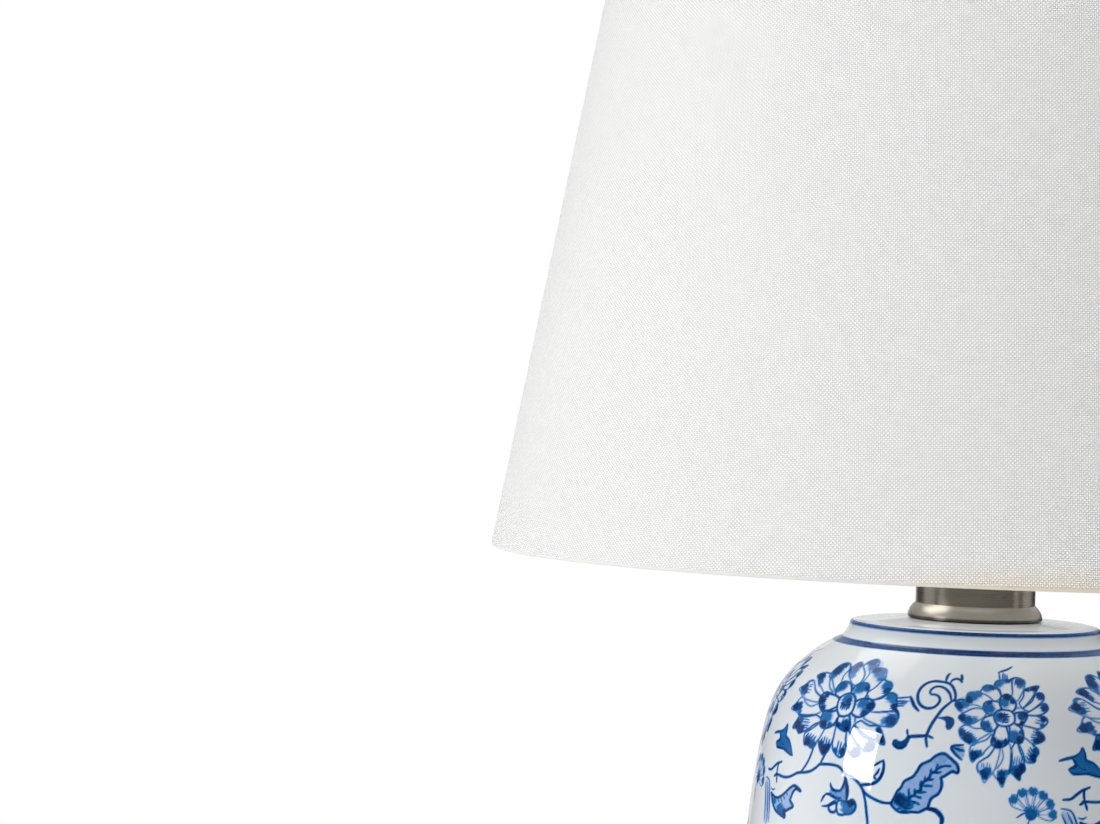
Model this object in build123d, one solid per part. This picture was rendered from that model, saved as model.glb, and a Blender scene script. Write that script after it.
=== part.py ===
from build123d import *
import math
import os

# Table lamp: a porcelain jar on a round nickel base, clamped by one threaded tube, with a short
# nickel neck, a lamp socket, and a tapered shade carried on a harp and held by a finial.
# Frame: millimetres, +Z up, origin at the middle of the underside, front towards -Y.
# The harp stands in the XZ plane, the switch knob points to -Y and the cord inlet to +Y.

# ---------------------------------------------------------------- fits and clearances
SLIP = 0.1                      # turned pieces that slide into each other
RUNNING = 0.06                  # a stud or a shaft that turns in its bore
HOLE_PLAY = 0.3                 # a plate's hole around the threaded tube
BULB_PLAY = 0.35                # the bulb's thread inside the screw shell
LOOSE = 0.35                    # a moving piece beside a fixed one

# ---------------------------------------------------------------- base
FELT_THICKNESS = 1.5
FELT_INSET = 1.5                # the pad stays this far inside the base's edge
BASE_RADIUS = 76.0
BASE_HEIGHT = 24.5
BASE_BAND_HEIGHT = 14.5         # the upright side, up to the ledge
BASE_LEDGE = 2.5
BASE_SHOULDER = 6.5             # radius lost over the rounded shoulder
BASE_WALL = 1.6
BASE_LIP = 8.0                  # inward flange that the felt is glued to
BALLAST_RADIUS = 60.0
BALLAST_THICKNESS = 10.0
BALLAST_CHAMFER = 1.5

# ---------------------------------------------------------------- cord inlet at the back
INLET_RADIUS = 3.6
BUSHING_BARREL_RADIUS = 5.0
BUSHING_FLANGE_RADIUS = 6.0
BUSHING_BARB_RADIUS = 5.4
BUSHING_FLANGE = 1.8
BUSHING_BARB = 1.8

# ---------------------------------------------------------------- threaded tube and its fasteners
TUBE_RADIUS = 5.0
TUBE_BORE = 3.2
TUBE_PROUD = 1.0                # below the bottom nut
WASHER_RADIUS = 12.0
WASHER_THICKNESS = 1.2
NUT_FLATS = 14.3
NUT_THICKNESS = 4.0

# ---------------------------------------------------------------- jar
FOOT_GASKET_THICKNESS = 0.8
JAR_HEIGHT = 265.4
JAR_WALL = 5.0
JAR_FLOOR = 8.0
JAR_FOOT_RADIUS = 64.0
JAR_FOOT_WIDTH = 11.0
JAR_FOOT_HEIGHT = 4.0
JAR_FOOT_BEVEL = 1.2
JAR_FOOT_FLARE = 14.5           # half-width gained at the height below
JAR_FOOT_FLARE_HEIGHT = 58.0
JAR_BELLY_RADIUS = 87.6
JAR_BELLY_HEIGHT = 134.0        # widest level, above the foot
JAR_COLLAR_RADIUS = 48.6        # edge of the flat top, where the thin ring is painted
JAR_COLLAR_HEIGHT = 7.6         # the edge above the collar's foot
JAR_COLLAR_SPREAD = 5.4         # the collar's foot is this much wider than its edge
JAR_TOP_DISH = 1.7              # rise of the top from its edge to the neck's seat
JAR_TOP_EDGE = 1.3              # rounding of the top's edge
# The shoulder: radius inside the belly, and depth below the collar's foot.
UPPER_BODY_INSET = 5.3
UPPER_BODY_DEPTH = 42.0
SHOULDER_INSET = 12.5
SHOULDER_DEPTH = 19.0
SHOULDER_CREST_INSET = 21.0
SHOULDER_CREST_DEPTH = 9.0
# Shares of the wall's thickness, inward and downward, where the side leans over.
CREST_WALL_INWARD = 0.5
CREST_WALL_DOWN = 0.9
SHOULDER_WALL_DOWN = 0.25

# ---------------------------------------------------------------- neck
CAP_GASKET_THICKNESS = 0.5
CAP_GASKET_INSET = 1.6
VASE_CAP_RADIUS = 26.1
VASE_CAP_BAND = 1.2
VASE_CAP_HEIGHT = 5.6
VASE_CAP_WEB = 1.8
VASE_CAP_LEAN = 0.25            # inward slope of the flare where it leaves the band
NECK_RADIUS = 23.2
NECK_WALL = 1.2
NECK_LENGTH = 41.7
SPIGOT_DEPTH = 3.0
SPIGOT_WALL = 1.2
TOP_PLATE_THICKNESS = 2.0
TOP_PLATE_OVERHANG = 0.8

# ---------------------------------------------------------------- harp and its saddle
SADDLE_THICKNESS = 1.6
SADDLE_WIDTH = 9.0
SADDLE_EYE_RADIUS = 9.0
SADDLE_ARM_HEIGHT = 15.0
SADDLE_BEND = 3.5
PRONG_WIDTH = 4.6
PRONG_LENGTH = 12.0
PRONG_GAP = 0.6                 # between a saddle prong and the harp's tang beside it
HARP_SPAN = 58.0                # between the legs, at the saddle
HARP_WIDTH = 120.0
HARP_RISE = 220.7               # from the saddle's shoulders to the top of the wire
HARP_SPREAD = 35.0              # degrees that the legs lean out above the sleeves
HARP_SHOULDER = 72.0            # the upper bend's corner, below the top
HARP_CROWN = 50.0               # between the corners of the top
HARP_LEG_BEND = 36.0
HARP_BELLY_BEND = 96.0
HARP_SHOULDER_BEND = 120.0
HARP_CROWN_BEND = 24.0
HARP_WIRE_RADIUS = 1.6
SLEEVE_LENGTH = 15.0
SLEEVE_BORE = 3.3
SLEEVE_WALL = 1.0
SLEEVE_TRAVEL = 13.0
STUD_RADIUS = 3.1
STUD_LENGTH = 12.5              # above the seat
STUD_SEAT_RADIUS = 5.5
STUD_SEAT_THICKNESS = 1.6
STUD_BOSS_RADIUS = 4.2

# ---------------------------------------------------------------- socket and switch
SOCKET_HUB_RADIUS = 7.5
SOCKET_HUB_HEIGHT = 8.0
SOCKET_CAP_HEIGHT = 24.0
SOCKET_CAP_LIP = 5.0            # upright rim that takes the shell
SOCKET_CAP_WALL = 0.8
SOCKET_RADIUS = 16.4
SOCKET_SHELL_WALL = 0.5
SOCKET_SHELL_HEIGHT = 47.0
SOCKET_BEAD = 0.7
INSULATOR_WALL = 0.6
SOCKET_BODY_HEIGHT = 19.0
SOCKET_BODY_FLAT = 11.0
SCREW_SHELL_HEIGHT = 22.0
SCREW_SHELL_WALL = 0.4
CONTACT_RADIUS = 3.5
CONTACT_THICKNESS = 1.4
TERMINAL_HEAD_RADIUS = 3.2
TERMINAL_HEAD_HEIGHT = 1.8
TERMINAL_SLOT = 0.8
SET_SCREW_RADIUS = 1.5
SET_SCREW_LENGTH = 4.5
SHAFT_RADIUS = 1.7
SHAFT_DEPTH = 8.0               # into the socket body, from its front
KNOB_RADIUS = 5.5
KNOB_LENGTH = 12.0
KNOB_STANDOFF = 2.5
KNOB_GRIP = 8.0                 # how far the shaft reaches into the knob
KNOB_FLUTES = 12
KNOB_FLUTE_RADIUS = 0.7

# ---------------------------------------------------------------- bulb
BULB_THREAD_CREST = 12.95
BULB_THREAD_DEPTH = 0.9
BULB_THREAD_PITCH = 3.63
BULB_THREAD_TURNS = 5
BULB_BASE_WALL = 0.4
BULB_TIP_RADIUS = 4.6
BULB_TIP_HEIGHT = 1.2
BULB_TIP_COLLAR = 1.0           # the glass cone shows this much round the tip
BULB_CONE_HEIGHT = 3.4
BULB_LENGTH = 109.0
BULB_RADIUS = 30.0
BULB_NECK_HEIGHT = 9.0          # the straight glass neck above the screw base
BULB_GLASS = 0.8
BULB_GLASS_TUCK = 1.6           # how far the glass reaches into its screw base
BULB_WAIST_ANGLE = 35.0         # below the bulb's equator, where the neck's curve starts

# ---------------------------------------------------------------- shade
SHADE_BOTTOM_RADIUS = 190.5
SHADE_TOP_RADIUS = 141.0
SHADE_HEIGHT = 279.4
FABRIC_THICKNESS = 0.8
LINER_THICKNESS = 1.0
RING_WIRE_RADIUS = 1.5
RING_INSET = 2.4                # ring centre, from the shade's edge
HEM_THICKNESS = 0.8
HEM_SQUEEZE = 0.5               # cloth pressed between a ring and the liner
HEM_WIDTH = 9.0
SEAM_WIDTH = 10.0
SEAM_THICKNESS = 0.6
SPIDER_DROP = 14.4              # the hub's underside, below the shade's top edge
SPIDER_ARMS = 3
SPIDER_WIRE_RADIUS = 1.5
SPIDER_BEND = 5.0
HUB_RADIUS = 13.0
HUB_THICKNESS = 1.6

# ---------------------------------------------------------------- finial
FINIAL_BASE_RADIUS = 8.0
FINIAL_BASE_THICKNESS = 2.2
FINIAL_NECK_RADIUS = 4.6
FINIAL_NECK_HEIGHT = 2.0
FINIAL_BALL_RADIUS = 9.5

# ---------------------------------------------------------------- levels, from the table upwards
base_top = FELT_THICKNESS + BASE_HEIGHT
band_top = FELT_THICKNESS + BASE_BAND_HEIGHT
inlet_level = (FELT_THICKNESS + band_top) / 2
jar_bottom = base_top + FOOT_GASKET_THICKNESS
jar_top = jar_bottom + JAR_HEIGHT
collar_edge = jar_top - JAR_TOP_DISH
collar_foot = collar_edge - JAR_COLLAR_HEIGHT
cap_bottom = jar_top + CAP_GASKET_THICKNESS
neck_bottom = cap_bottom + VASE_CAP_HEIGHT
neck_top = neck_bottom + NECK_LENGTH
saddle_bottom = neck_top + TOP_PLATE_THICKNESS
saddle_top = saddle_bottom + SADDLE_THICKNESS
saddle_shoulder = saddle_bottom + SADDLE_ARM_HEIGHT
harp_top = saddle_shoulder + HARP_RISE
stud_seat = harp_top + HARP_WIRE_RADIUS + STUD_SEAT_THICKNESS + SLIP
hub_bottom = stud_seat
hub_top = hub_bottom + HUB_THICKNESS
shade_top = hub_bottom + SPIDER_DROP
shade_bottom = shade_top - SHADE_HEIGHT
ballast_top = base_top - BASE_WALL
ballast_bottom = ballast_top - BALLAST_THICKNESS
base_nut_top = ballast_bottom - WASHER_THICKNESS
tube_bottom = base_nut_top - NUT_THICKNESS - TUBE_PROUD
socket_bottom = saddle_top + NUT_THICKNESS + SLIP
tube_top = socket_bottom + SOCKET_HUB_HEIGHT - SLIP
set_screw_level = socket_bottom + SOCKET_HUB_HEIGHT / 2
shell_bottom = socket_bottom + SOCKET_CAP_HEIGHT - SOCKET_CAP_LIP
shell_top = shell_bottom + SOCKET_SHELL_HEIGHT
screw_shell_top = shell_top - 2 * SOCKET_BEAD
screw_shell_bottom = screw_shell_top - SCREW_SHELL_HEIGHT
socket_body_bottom = screw_shell_bottom - SOCKET_BODY_HEIGHT
switch_level = socket_body_bottom + SOCKET_BODY_HEIGHT / 2
bulb_bottom = screw_shell_bottom + CONTACT_THICKNESS + SLIP

# ---------------------------------------------------------------- radii that follow
tube_hole = TUBE_RADIUS + HOLE_PLAY
spigot_radius = NECK_RADIUS - NECK_WALL - SLIP
insulator_radius = SOCKET_RADIUS - SOCKET_SHELL_WALL - SLIP
socket_body_radius = insulator_radius - INSULATOR_WALL - SLIP
shaft_end = SHAFT_DEPTH - socket_body_radius
knob_start = -(SOCKET_RADIUS + KNOB_STANDOFF)
screw_shell_bore = BULB_THREAD_CREST + BULB_PLAY
jar_foot_inner = JAR_FOOT_RADIUS - JAR_FOOT_WIDTH
harp_leg = HARP_SPAN / 2
prong_offset = (SADDLE_THICKNESS + PRONG_GAP) / 2
shade_taper = (SHADE_BOTTOM_RADIUS - SHADE_TOP_RADIUS) / SHADE_HEIGHT
shade_wall = FABRIC_THICKNESS + LINER_THICKNESS
wall_lean = math.hypot(1, shade_taper)

UPRIGHT = (Align.CENTER, Align.CENTER, Align.MIN)


# ================================================================ helpers
def cylinder(radius, low, high):
    """Upright cylinder on the lamp's axis."""
    return Pos(0, 0, low) * Cylinder(radius, high - low, align=UPRIGHT)


def tube(radius, bore, low, high):
    """Upright tube, or a disc with a hole, on the lamp's axis."""
    return cylinder(radius, low, high) - cylinder(bore, low, high)


def across(radius, near, far, height):
    """Cylinder that lies along Y, from near to far, at a height."""
    middle = Pos(0, (near + far) / 2, height)
    return middle * Rot(90, 0, 0) * Cylinder(radius, abs(far - near))


def at(radius, height):
    """Point of an outline that is turned about the lamp's axis."""
    return Vector(radius, 0, height)


def turned(*edges):
    """Solid turned about Z from the edges of a closed outline."""
    return revolve(make_face(edges), Axis.Z)


def turned_polygon(*points):
    """Solid turned about Z from a closed outline of straight lines."""
    return turned(Polyline(*points, close=True))


def hex_nut(low):
    """Hexagon nut on the threaded tube."""
    body = extrude(RegularPolygon(NUT_FLATS / 2, 6, major_radius=False), NUT_THICKNESS)
    return Pos(0, 0, low) * body - cylinder(TUBE_RADIUS + SLIP, low, low + NUT_THICKNESS)


def shade_radius(height, depth=0):
    """Radius of the shade's cone at a height, this far inside its outer face."""
    return SHADE_BOTTOM_RADIUS - (height - shade_bottom) * shade_taper - depth


# ================================================================ base
def felt_pad():
    return cylinder(BASE_RADIUS - FELT_INSET, 0, FELT_THICKNESS)


def base_form(inset):
    """The base's outside, or its inside when inset by the wall."""
    radius = BASE_RADIUS - inset
    ledge = radius - BASE_LEDGE
    low = FELT_THICKNESS + inset
    band = band_top - inset
    top = at(ledge - BASE_SHOULDER, base_top - inset)
    side = Polyline(at(0, low), at(radius, low), at(radius, band), at(ledge, band))
    shoulder = TangentArc(at(ledge, band), top, tangent=(0, 0, 1))
    return turned(side, shoulder, Polyline(top, at(0, base_top - inset), at(0, low)))


def base_shell():
    """Spun shell with an inward lip, holed for the tube and the cord bushing."""
    shell = base_form(0) - base_form(BASE_WALL)
    shell -= cylinder(BASE_RADIUS - BASE_LIP, 0, ballast_bottom)
    shell -= cylinder(tube_hole, ballast_bottom, base_top)
    return shell - across(BUSHING_BARREL_RADIUS + SLIP, BASE_RADIUS - BASE_LIP, BASE_RADIUS, inlet_level)


def ballast():
    """Cast-iron disc under the base's top."""
    disc = cylinder(BALLAST_RADIUS, ballast_bottom, ballast_top)
    disc = chamfer(disc.edges().filter_by(GeomType.CIRCLE), BALLAST_CHAMFER)
    return disc - cylinder(tube_hole, ballast_bottom, ballast_top)


def cord_bushing():
    """Plastic snap bushing that follows the base's round side, outside and inside."""
    wall_in = BASE_RADIUS - BASE_WALL
    barb_end = wall_in - BUSHING_BARB
    flange_end = BASE_RADIUS + BUSHING_FLANGE
    bushing = across(BUSHING_BARREL_RADIUS, barb_end, flange_end, inlet_level)
    flange = across(BUSHING_FLANGE_RADIUS, wall_in, flange_end, inlet_level)
    barb = across(BUSHING_BARB_RADIUS, barb_end, wall_in, inlet_level)
    bushing += flange - cylinder(BASE_RADIUS + SLIP / 2, 0, band_top)
    bushing += barb & cylinder(wall_in - SLIP / 2, 0, band_top)
    return bushing - across(INLET_RADIUS, barb_end, flange_end, inlet_level)


def threaded_tube():
    return tube(TUBE_RADIUS, TUBE_BORE, tube_bottom, tube_top)


# ================================================================ jar
def jar_side(inset, start):
    """The jar's side from a start point up to the collar's foot, inset by a wall or not."""
    belly = JAR_BELLY_RADIUS - inset
    flare = at(JAR_FOOT_RADIUS + JAR_FOOT_FLARE - inset, jar_bottom + JAR_FOOT_FLARE_HEIGHT)
    crest_inward = inset * CREST_WALL_INWARD
    crest_drop = SHOULDER_CREST_DEPTH + inset * CREST_WALL_DOWN
    crest = at(belly - SHOULDER_CREST_INSET + crest_inward, collar_foot - crest_drop)
    foot_of_collar = at(JAR_COLLAR_RADIUS + JAR_COLLAR_SPREAD - crest_inward, collar_foot - inset)
    shoulder_drop = SHOULDER_DEPTH + inset * SHOULDER_WALL_DOWN
    return Spline(
        start,
        flare,
        at(belly, jar_bottom + JAR_BELLY_HEIGHT),
        at(belly - UPPER_BODY_INSET, collar_foot - UPPER_BODY_DEPTH),
        at(belly - SHOULDER_INSET, collar_foot - shoulder_drop),
        crest,
        foot_of_collar,
    )


def jar_outside():
    """Turned outside of the jar, from its foot ring to the seat of the neck."""
    foot = at(JAR_FOOT_RADIUS, jar_bottom + JAR_FOOT_HEIGHT)
    bevel = at(JAR_FOOT_RADIUS, jar_bottom + JAR_FOOT_BEVEL)
    base = Polyline(at(0, jar_bottom), at(JAR_FOOT_RADIUS - JAR_FOOT_BEVEL, jar_bottom), bevel, foot)
    side = jar_side(0, foot)
    edge_start = at(JAR_COLLAR_RADIUS, collar_edge - JAR_TOP_EDGE)
    collar = TangentArc(edge_start, side @ 1, tangent=(JAR_TOP_EDGE, 0, -JAR_COLLAR_HEIGHT))
    edge_end = at(JAR_COLLAR_RADIUS - JAR_TOP_EDGE, collar_edge)
    rounding = TangentArc(edge_start, edge_end, tangent=(0, 0, 1))
    seat = at(VASE_CAP_RADIUS, jar_top)
    return turned(base, side, collar, rounding, Polyline(edge_end, seat, at(0, jar_top), at(0, jar_bottom)))


def jar_inside():
    """Turned hollow of the jar."""
    floor = jar_bottom + JAR_FOOT_HEIGHT + JAR_FLOOR
    corner = at(JAR_FOOT_RADIUS - JAR_WALL, floor)
    side = jar_side(JAR_WALL, corner)
    ceiling = Polyline(side @ 1, at(VASE_CAP_RADIUS, jar_top - JAR_WALL), at(0, jar_top - JAR_WALL))
    return turned(Line(at(0, floor), corner), side, ceiling, Line(at(0, jar_top - JAR_WALL), at(0, floor)))


def jar_body():
    """Porcelain vessel with a foot ring and a hole above and below for the tube."""
    jar = jar_outside() - jar_inside()
    jar -= cylinder(jar_foot_inner, jar_bottom, jar_bottom + JAR_FOOT_HEIGHT)
    return jar - cylinder(tube_hole, jar_bottom, jar_top)


def jar_foot_gasket():
    return tube(JAR_FOOT_RADIUS - JAR_FOOT_BEVEL, jar_foot_inner, base_top, jar_bottom)


# ================================================================ neck
def vase_cap_gasket():
    return tube(VASE_CAP_RADIUS - CAP_GASKET_INSET, tube_hole, jar_top, cap_bottom)


def vase_cap():
    """Flared nickel cap on the jar's top, hollow, with a spigot that centres the column."""
    band = at(VASE_CAP_RADIUS, cap_bottom + VASE_CAP_BAND)
    rim = at(NECK_RADIUS, neck_bottom)
    bell = TangentArc(band, rim, tangent=(-VASE_CAP_LEAN, 0, 1))
    spigot = Polyline(rim, at(spigot_radius, neck_bottom), at(spigot_radius, neck_bottom + SPIGOT_DEPTH))
    bore = spigot_radius - SPIGOT_WALL
    web = cap_bottom + VASE_CAP_WEB
    inside = Polyline(
        at(spigot_radius, neck_bottom + SPIGOT_DEPTH),
        at(bore, neck_bottom + SPIGOT_DEPTH),
        at(bore, web),
        at(tube_hole, web),
        at(tube_hole, cap_bottom),
        at(VASE_CAP_RADIUS, cap_bottom),
        band,
    )
    return turned(bell, spigot, inside)


def neck_column():
    return tube(NECK_RADIUS, NECK_RADIUS - NECK_WALL, neck_bottom, neck_top)


def neck_top_plate():
    """Plate that closes the column, with its own spigot and a hole for the tube."""
    plate = tube(NECK_RADIUS + TOP_PLATE_OVERHANG, tube_hole, neck_top, saddle_bottom)
    spigot = tube(spigot_radius, spigot_radius - SPIGOT_WALL, neck_top - SPIGOT_DEPTH, neck_top)
    return plate + spigot


# ================================================================ harp saddle and harp
def harp_saddle():
    """Bent strip with a round eye for the tube, and at each end an arm that narrows to a prong."""
    arm = harp_leg - prong_offset
    strip = SADDLE_THICKNESS / 2
    path = FilletPolyline(
        (-arm, 0, saddle_shoulder),
        (-arm, 0, saddle_bottom + strip),
        (arm, 0, saddle_bottom + strip),
        (arm, 0, saddle_shoulder),
        radius=SADDLE_BEND,
    )
    start = Plane(origin=path @ 0, x_dir=(0, 1, 0), z_dir=path % 0)
    saddle = sweep(start * Rectangle(SADDLE_WIDTH, SADDLE_THICKNESS), path)
    root = SADDLE_THICKNESS
    prong = Box(SADDLE_THICKNESS, PRONG_WIDTH, PRONG_LENGTH + root, align=UPRIGHT)
    for side in (-1, 1):
        saddle += Pos(side * arm, 0, saddle_shoulder - root) * prong
    saddle += cylinder(SADDLE_EYE_RADIUS, saddle_bottom, saddle_top)
    return saddle - cylinder(tube_hole, saddle_bottom, saddle_top)


def harp_wire():
    """Round wire bent to the harp's shape, with a flat tang at the foot of each leg."""
    wire_foot = saddle_shoulder + PRONG_LENGTH + LOOSE
    lean = math.radians(HARP_SPREAD)
    half = HARP_WIDTH / 2
    leg_corner = saddle_shoulder + SLEEVE_LENGTH + SLEEVE_TRAVEL + HARP_LEG_BEND * math.tan(lean / 2)
    right = [
        (harp_leg, 0, wire_foot),
        (harp_leg, 0, leg_corner),
        (half, 0, leg_corner + (half - harp_leg) / math.tan(lean)),
        (half, 0, harp_top - HARP_SHOULDER),
        (HARP_CROWN / 2, 0, harp_top),
    ]
    left = [(-x, y, z) for x, y, z in reversed(right)]
    bends = [HARP_LEG_BEND, HARP_BELLY_BEND, HARP_SHOULDER_BEND, HARP_CROWN_BEND]
    path = FilletPolyline(*right, *left, radius=bends + bends[::-1])
    harp = sweep(Plane(origin=path @ 0, z_dir=path % 0) * Circle(HARP_WIRE_RADIUS), path)
    tang = Box(SADDLE_THICKNESS, PRONG_WIDTH, PRONG_LENGTH + HARP_WIRE_RADIUS, align=UPRIGHT)
    for side in (-1, 1):
        harp += Pos(side * (harp_leg + prong_offset), 0, saddle_shoulder + LOOSE) * tang
    return harp


def harp_stud():
    """Boss clamped on the wire, the seat for the shade's hub, and the stud for the finial."""
    seat_bottom = stud_seat - STUD_SEAT_THICKNESS
    stud = cylinder(STUD_BOSS_RADIUS, harp_top - 2 * HARP_WIRE_RADIUS, seat_bottom)
    stud += cylinder(STUD_SEAT_RADIUS, seat_bottom, stud_seat)
    stud += cylinder(STUD_RADIUS, stud_seat, stud_seat + STUD_LENGTH)
    wire_hole = Rot(0, 90, 0) * Cylinder(HARP_WIRE_RADIUS + SLIP / 2, 4 * STUD_BOSS_RADIUS)
    return stud - Pos(0, 0, harp_top) * wire_hole


def harp_sleeve(side):
    """Tube that drops over prong and tang and locks them together."""
    sleeve = tube(SLEEVE_BORE + SLEEVE_WALL, SLEEVE_BORE, saddle_shoulder, saddle_shoulder + SLEEVE_LENGTH)
    return Pos(side * harp_leg, 0, 0) * sleeve


# ================================================================ socket and switch
def socket_cap():
    """Bell-shaped cap with a threaded hub."""
    hub_top_level = socket_bottom + SOCKET_HUB_HEIGHT
    rim_top = socket_bottom + SOCKET_CAP_HEIGHT
    outer = SOCKET_RADIUS + SLIP + SOCKET_CAP_WALL
    inner = SOCKET_RADIUS + SLIP
    hub = at(SOCKET_HUB_RADIUS, hub_top_level - SOCKET_CAP_WALL)
    bell = TangentArc(at(outer, shell_bottom), hub, tangent=(0, 0, -1))
    rim = Polyline(at(outer, shell_bottom), at(outer, rim_top), at(inner, rim_top), at(inner, shell_bottom))
    throat = at(SOCKET_HUB_RADIUS - SOCKET_CAP_WALL, hub_top_level)
    inside = TangentArc(at(inner, shell_bottom), throat, tangent=(0, 0, -1))
    foot = Polyline(
        throat,
        at(TUBE_RADIUS + SLIP, hub_top_level),
        at(TUBE_RADIUS + SLIP, socket_bottom),
        at(SOCKET_HUB_RADIUS, socket_bottom),
        hub,
    )
    screw_hole = across(SET_SCREW_RADIUS + SLIP, 0, SOCKET_HUB_RADIUS, set_screw_level)
    return turned(bell, rim, inside, foot) - screw_hole


def socket_set_screw():
    """Small screw at the back of the hub that stops the socket turning on the tube."""
    start = TUBE_RADIUS + SLIP
    end = start + SET_SCREW_LENGTH
    screw = across(SET_SCREW_RADIUS, start, end, set_screw_level)
    return screw - Pos(0, end, set_screw_level) * Box(2 * SET_SCREW_RADIUS, SET_SCREW_RADIUS, TERMINAL_SLOT)


def shaft_opening():
    """Round hole in the shell and the sleeve for the switch shaft."""
    return across(SHAFT_RADIUS + LOOSE, -2 * SOCKET_RADIUS, 0, switch_level)


def socket_shell():
    """Thin outer shell with a rolled bead at its mouth."""
    bore = SOCKET_RADIUS - SOCKET_SHELL_WALL
    shell = tube(SOCKET_RADIUS, bore, shell_bottom, shell_top)
    bead = tube(SOCKET_RADIUS + SOCKET_BEAD, bore, shell_top - 2 * SOCKET_BEAD, shell_top)
    return shell + bead - shaft_opening()


def socket_insulator():
    sleeve = tube(insulator_radius, insulator_radius - INSULATOR_WALL, shell_bottom, screw_shell_top)
    return sleeve - shaft_opening()


def socket_body():
    """Moulded core with two flats for the terminal screws and a bore for the switch shaft."""
    core = cylinder(socket_body_radius, socket_body_bottom, screw_shell_bottom)
    side = 2 * socket_body_radius
    flat_height = SOCKET_BODY_HEIGHT - 2 * TERMINAL_HEAD_HEIGHT
    for direction in (-1, 1):
        cut = Box(side, side, flat_height, align=UPRIGHT)
        core -= Pos(direction * (SOCKET_BODY_FLAT + socket_body_radius), 0, socket_body_bottom) * cut
    return core - across(SHAFT_RADIUS + RUNNING, -socket_body_radius, shaft_end, switch_level)


def thread_rings(radius, low):
    """Wavy line of the lamp thread, each crest this far from the axis."""
    root = radius - BULB_THREAD_DEPTH
    waves = []
    for turn in range(BULB_THREAD_TURNS):
        foot = low + turn * BULB_THREAD_PITCH
        crest = at(radius, foot + BULB_THREAD_PITCH / 2)
        waves.append(ThreePointArc(at(root, foot), crest, at(root, foot + BULB_THREAD_PITCH)))
    return waves


def socket_screw_shell():
    """Brass shell that the bulb screws into, with a foot flange on the socket body."""
    wall = tube(screw_shell_bore + SCREW_SHELL_WALL, screw_shell_bore, screw_shell_bottom, screw_shell_top)
    flange = tube(screw_shell_bore + SCREW_SHELL_WALL, BULB_THREAD_CREST - BULB_THREAD_DEPTH,
                  screw_shell_bottom, screw_shell_bottom + SCREW_SHELL_WALL)
    return wall + flange


def socket_center_contact():
    return cylinder(CONTACT_RADIUS, screw_shell_bottom, screw_shell_bottom + CONTACT_THICKNESS)


def terminal_screws():
    """Two slotted brass screws, one on each flat of the socket body."""
    level = socket_body_bottom + SOCKET_BODY_HEIGHT / 2 - TERMINAL_HEAD_HEIGHT
    head = Cylinder(TERMINAL_HEAD_RADIUS, TERMINAL_HEAD_HEIGHT, align=UPRIGHT)
    head -= Pos(0, 0, TERMINAL_HEAD_HEIGHT) * Box(2 * TERMINAL_HEAD_RADIUS, TERMINAL_SLOT, TERMINAL_SLOT)
    right = Pos(SOCKET_BODY_FLAT, 0, level) * Rot(0, 90, 0) * head
    left = Pos(-SOCKET_BODY_FLAT, 0, level) * Rot(0, -90, 0) * head
    return Compound([right, left])


def switch_shaft():
    return across(SHAFT_RADIUS, shaft_end - SLIP, knob_start - KNOB_GRIP, switch_level)


def switch_knob():
    """Fluted knob on the shaft, rounded at its face."""
    knob = across(KNOB_RADIUS, knob_start, knob_start - KNOB_LENGTH, switch_level)
    knob = fillet(knob.edges().filter_by(GeomType.CIRCLE), KNOB_FLUTE_RADIUS)
    flute = across(KNOB_FLUTE_RADIUS, knob_start, knob_start - KNOB_LENGTH, 0)
    for index in range(KNOB_FLUTES):
        angle = 2 * math.pi * index / KNOB_FLUTES
        knob -= Pos(KNOB_RADIUS * math.cos(angle), 0, switch_level + KNOB_RADIUS * math.sin(angle)) * flute
    return knob - across(SHAFT_RADIUS, knob_start, knob_start - KNOB_GRIP, switch_level)


# ================================================================ bulb
bulb_cone_bottom = bulb_bottom + BULB_TIP_HEIGHT
bulb_thread_bottom = bulb_cone_bottom + BULB_CONE_HEIGHT
bulb_base_top = bulb_thread_bottom + BULB_THREAD_TURNS * BULB_THREAD_PITCH + SCREW_SHELL_WALL
bulb_root = BULB_THREAD_CREST - BULB_THREAD_DEPTH
bulb_glass_radius = bulb_root - BULB_BASE_WALL - SLIP


def bulb_contact():
    return cylinder(BULB_TIP_RADIUS, bulb_bottom, bulb_cone_bottom)


def bulb_insulator():
    """Glass cone between the tip and the screw base."""
    return turned_polygon(
        at(0, bulb_cone_bottom),
        at(BULB_TIP_RADIUS + BULB_TIP_COLLAR, bulb_cone_bottom),
        at(bulb_root, bulb_thread_bottom),
        at(0, bulb_thread_bottom),
    )


def bulb_screw_base():
    """Plated screw base with its rounded thread, open towards the glass."""
    foot = at(bulb_root, bulb_thread_bottom)
    waves = thread_rings(BULB_THREAD_CREST, bulb_thread_bottom)
    bore = bulb_root - BULB_BASE_WALL
    inside = Polyline(
        waves[-1] @ 1,
        at(bulb_root, bulb_base_top),
        at(bore, bulb_base_top),
        at(bore, bulb_thread_bottom + BULB_BASE_WALL),
        at(0, bulb_thread_bottom + BULB_BASE_WALL),
        at(0, bulb_thread_bottom),
        foot,
    )
    return turned(*waves, inside)


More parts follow.
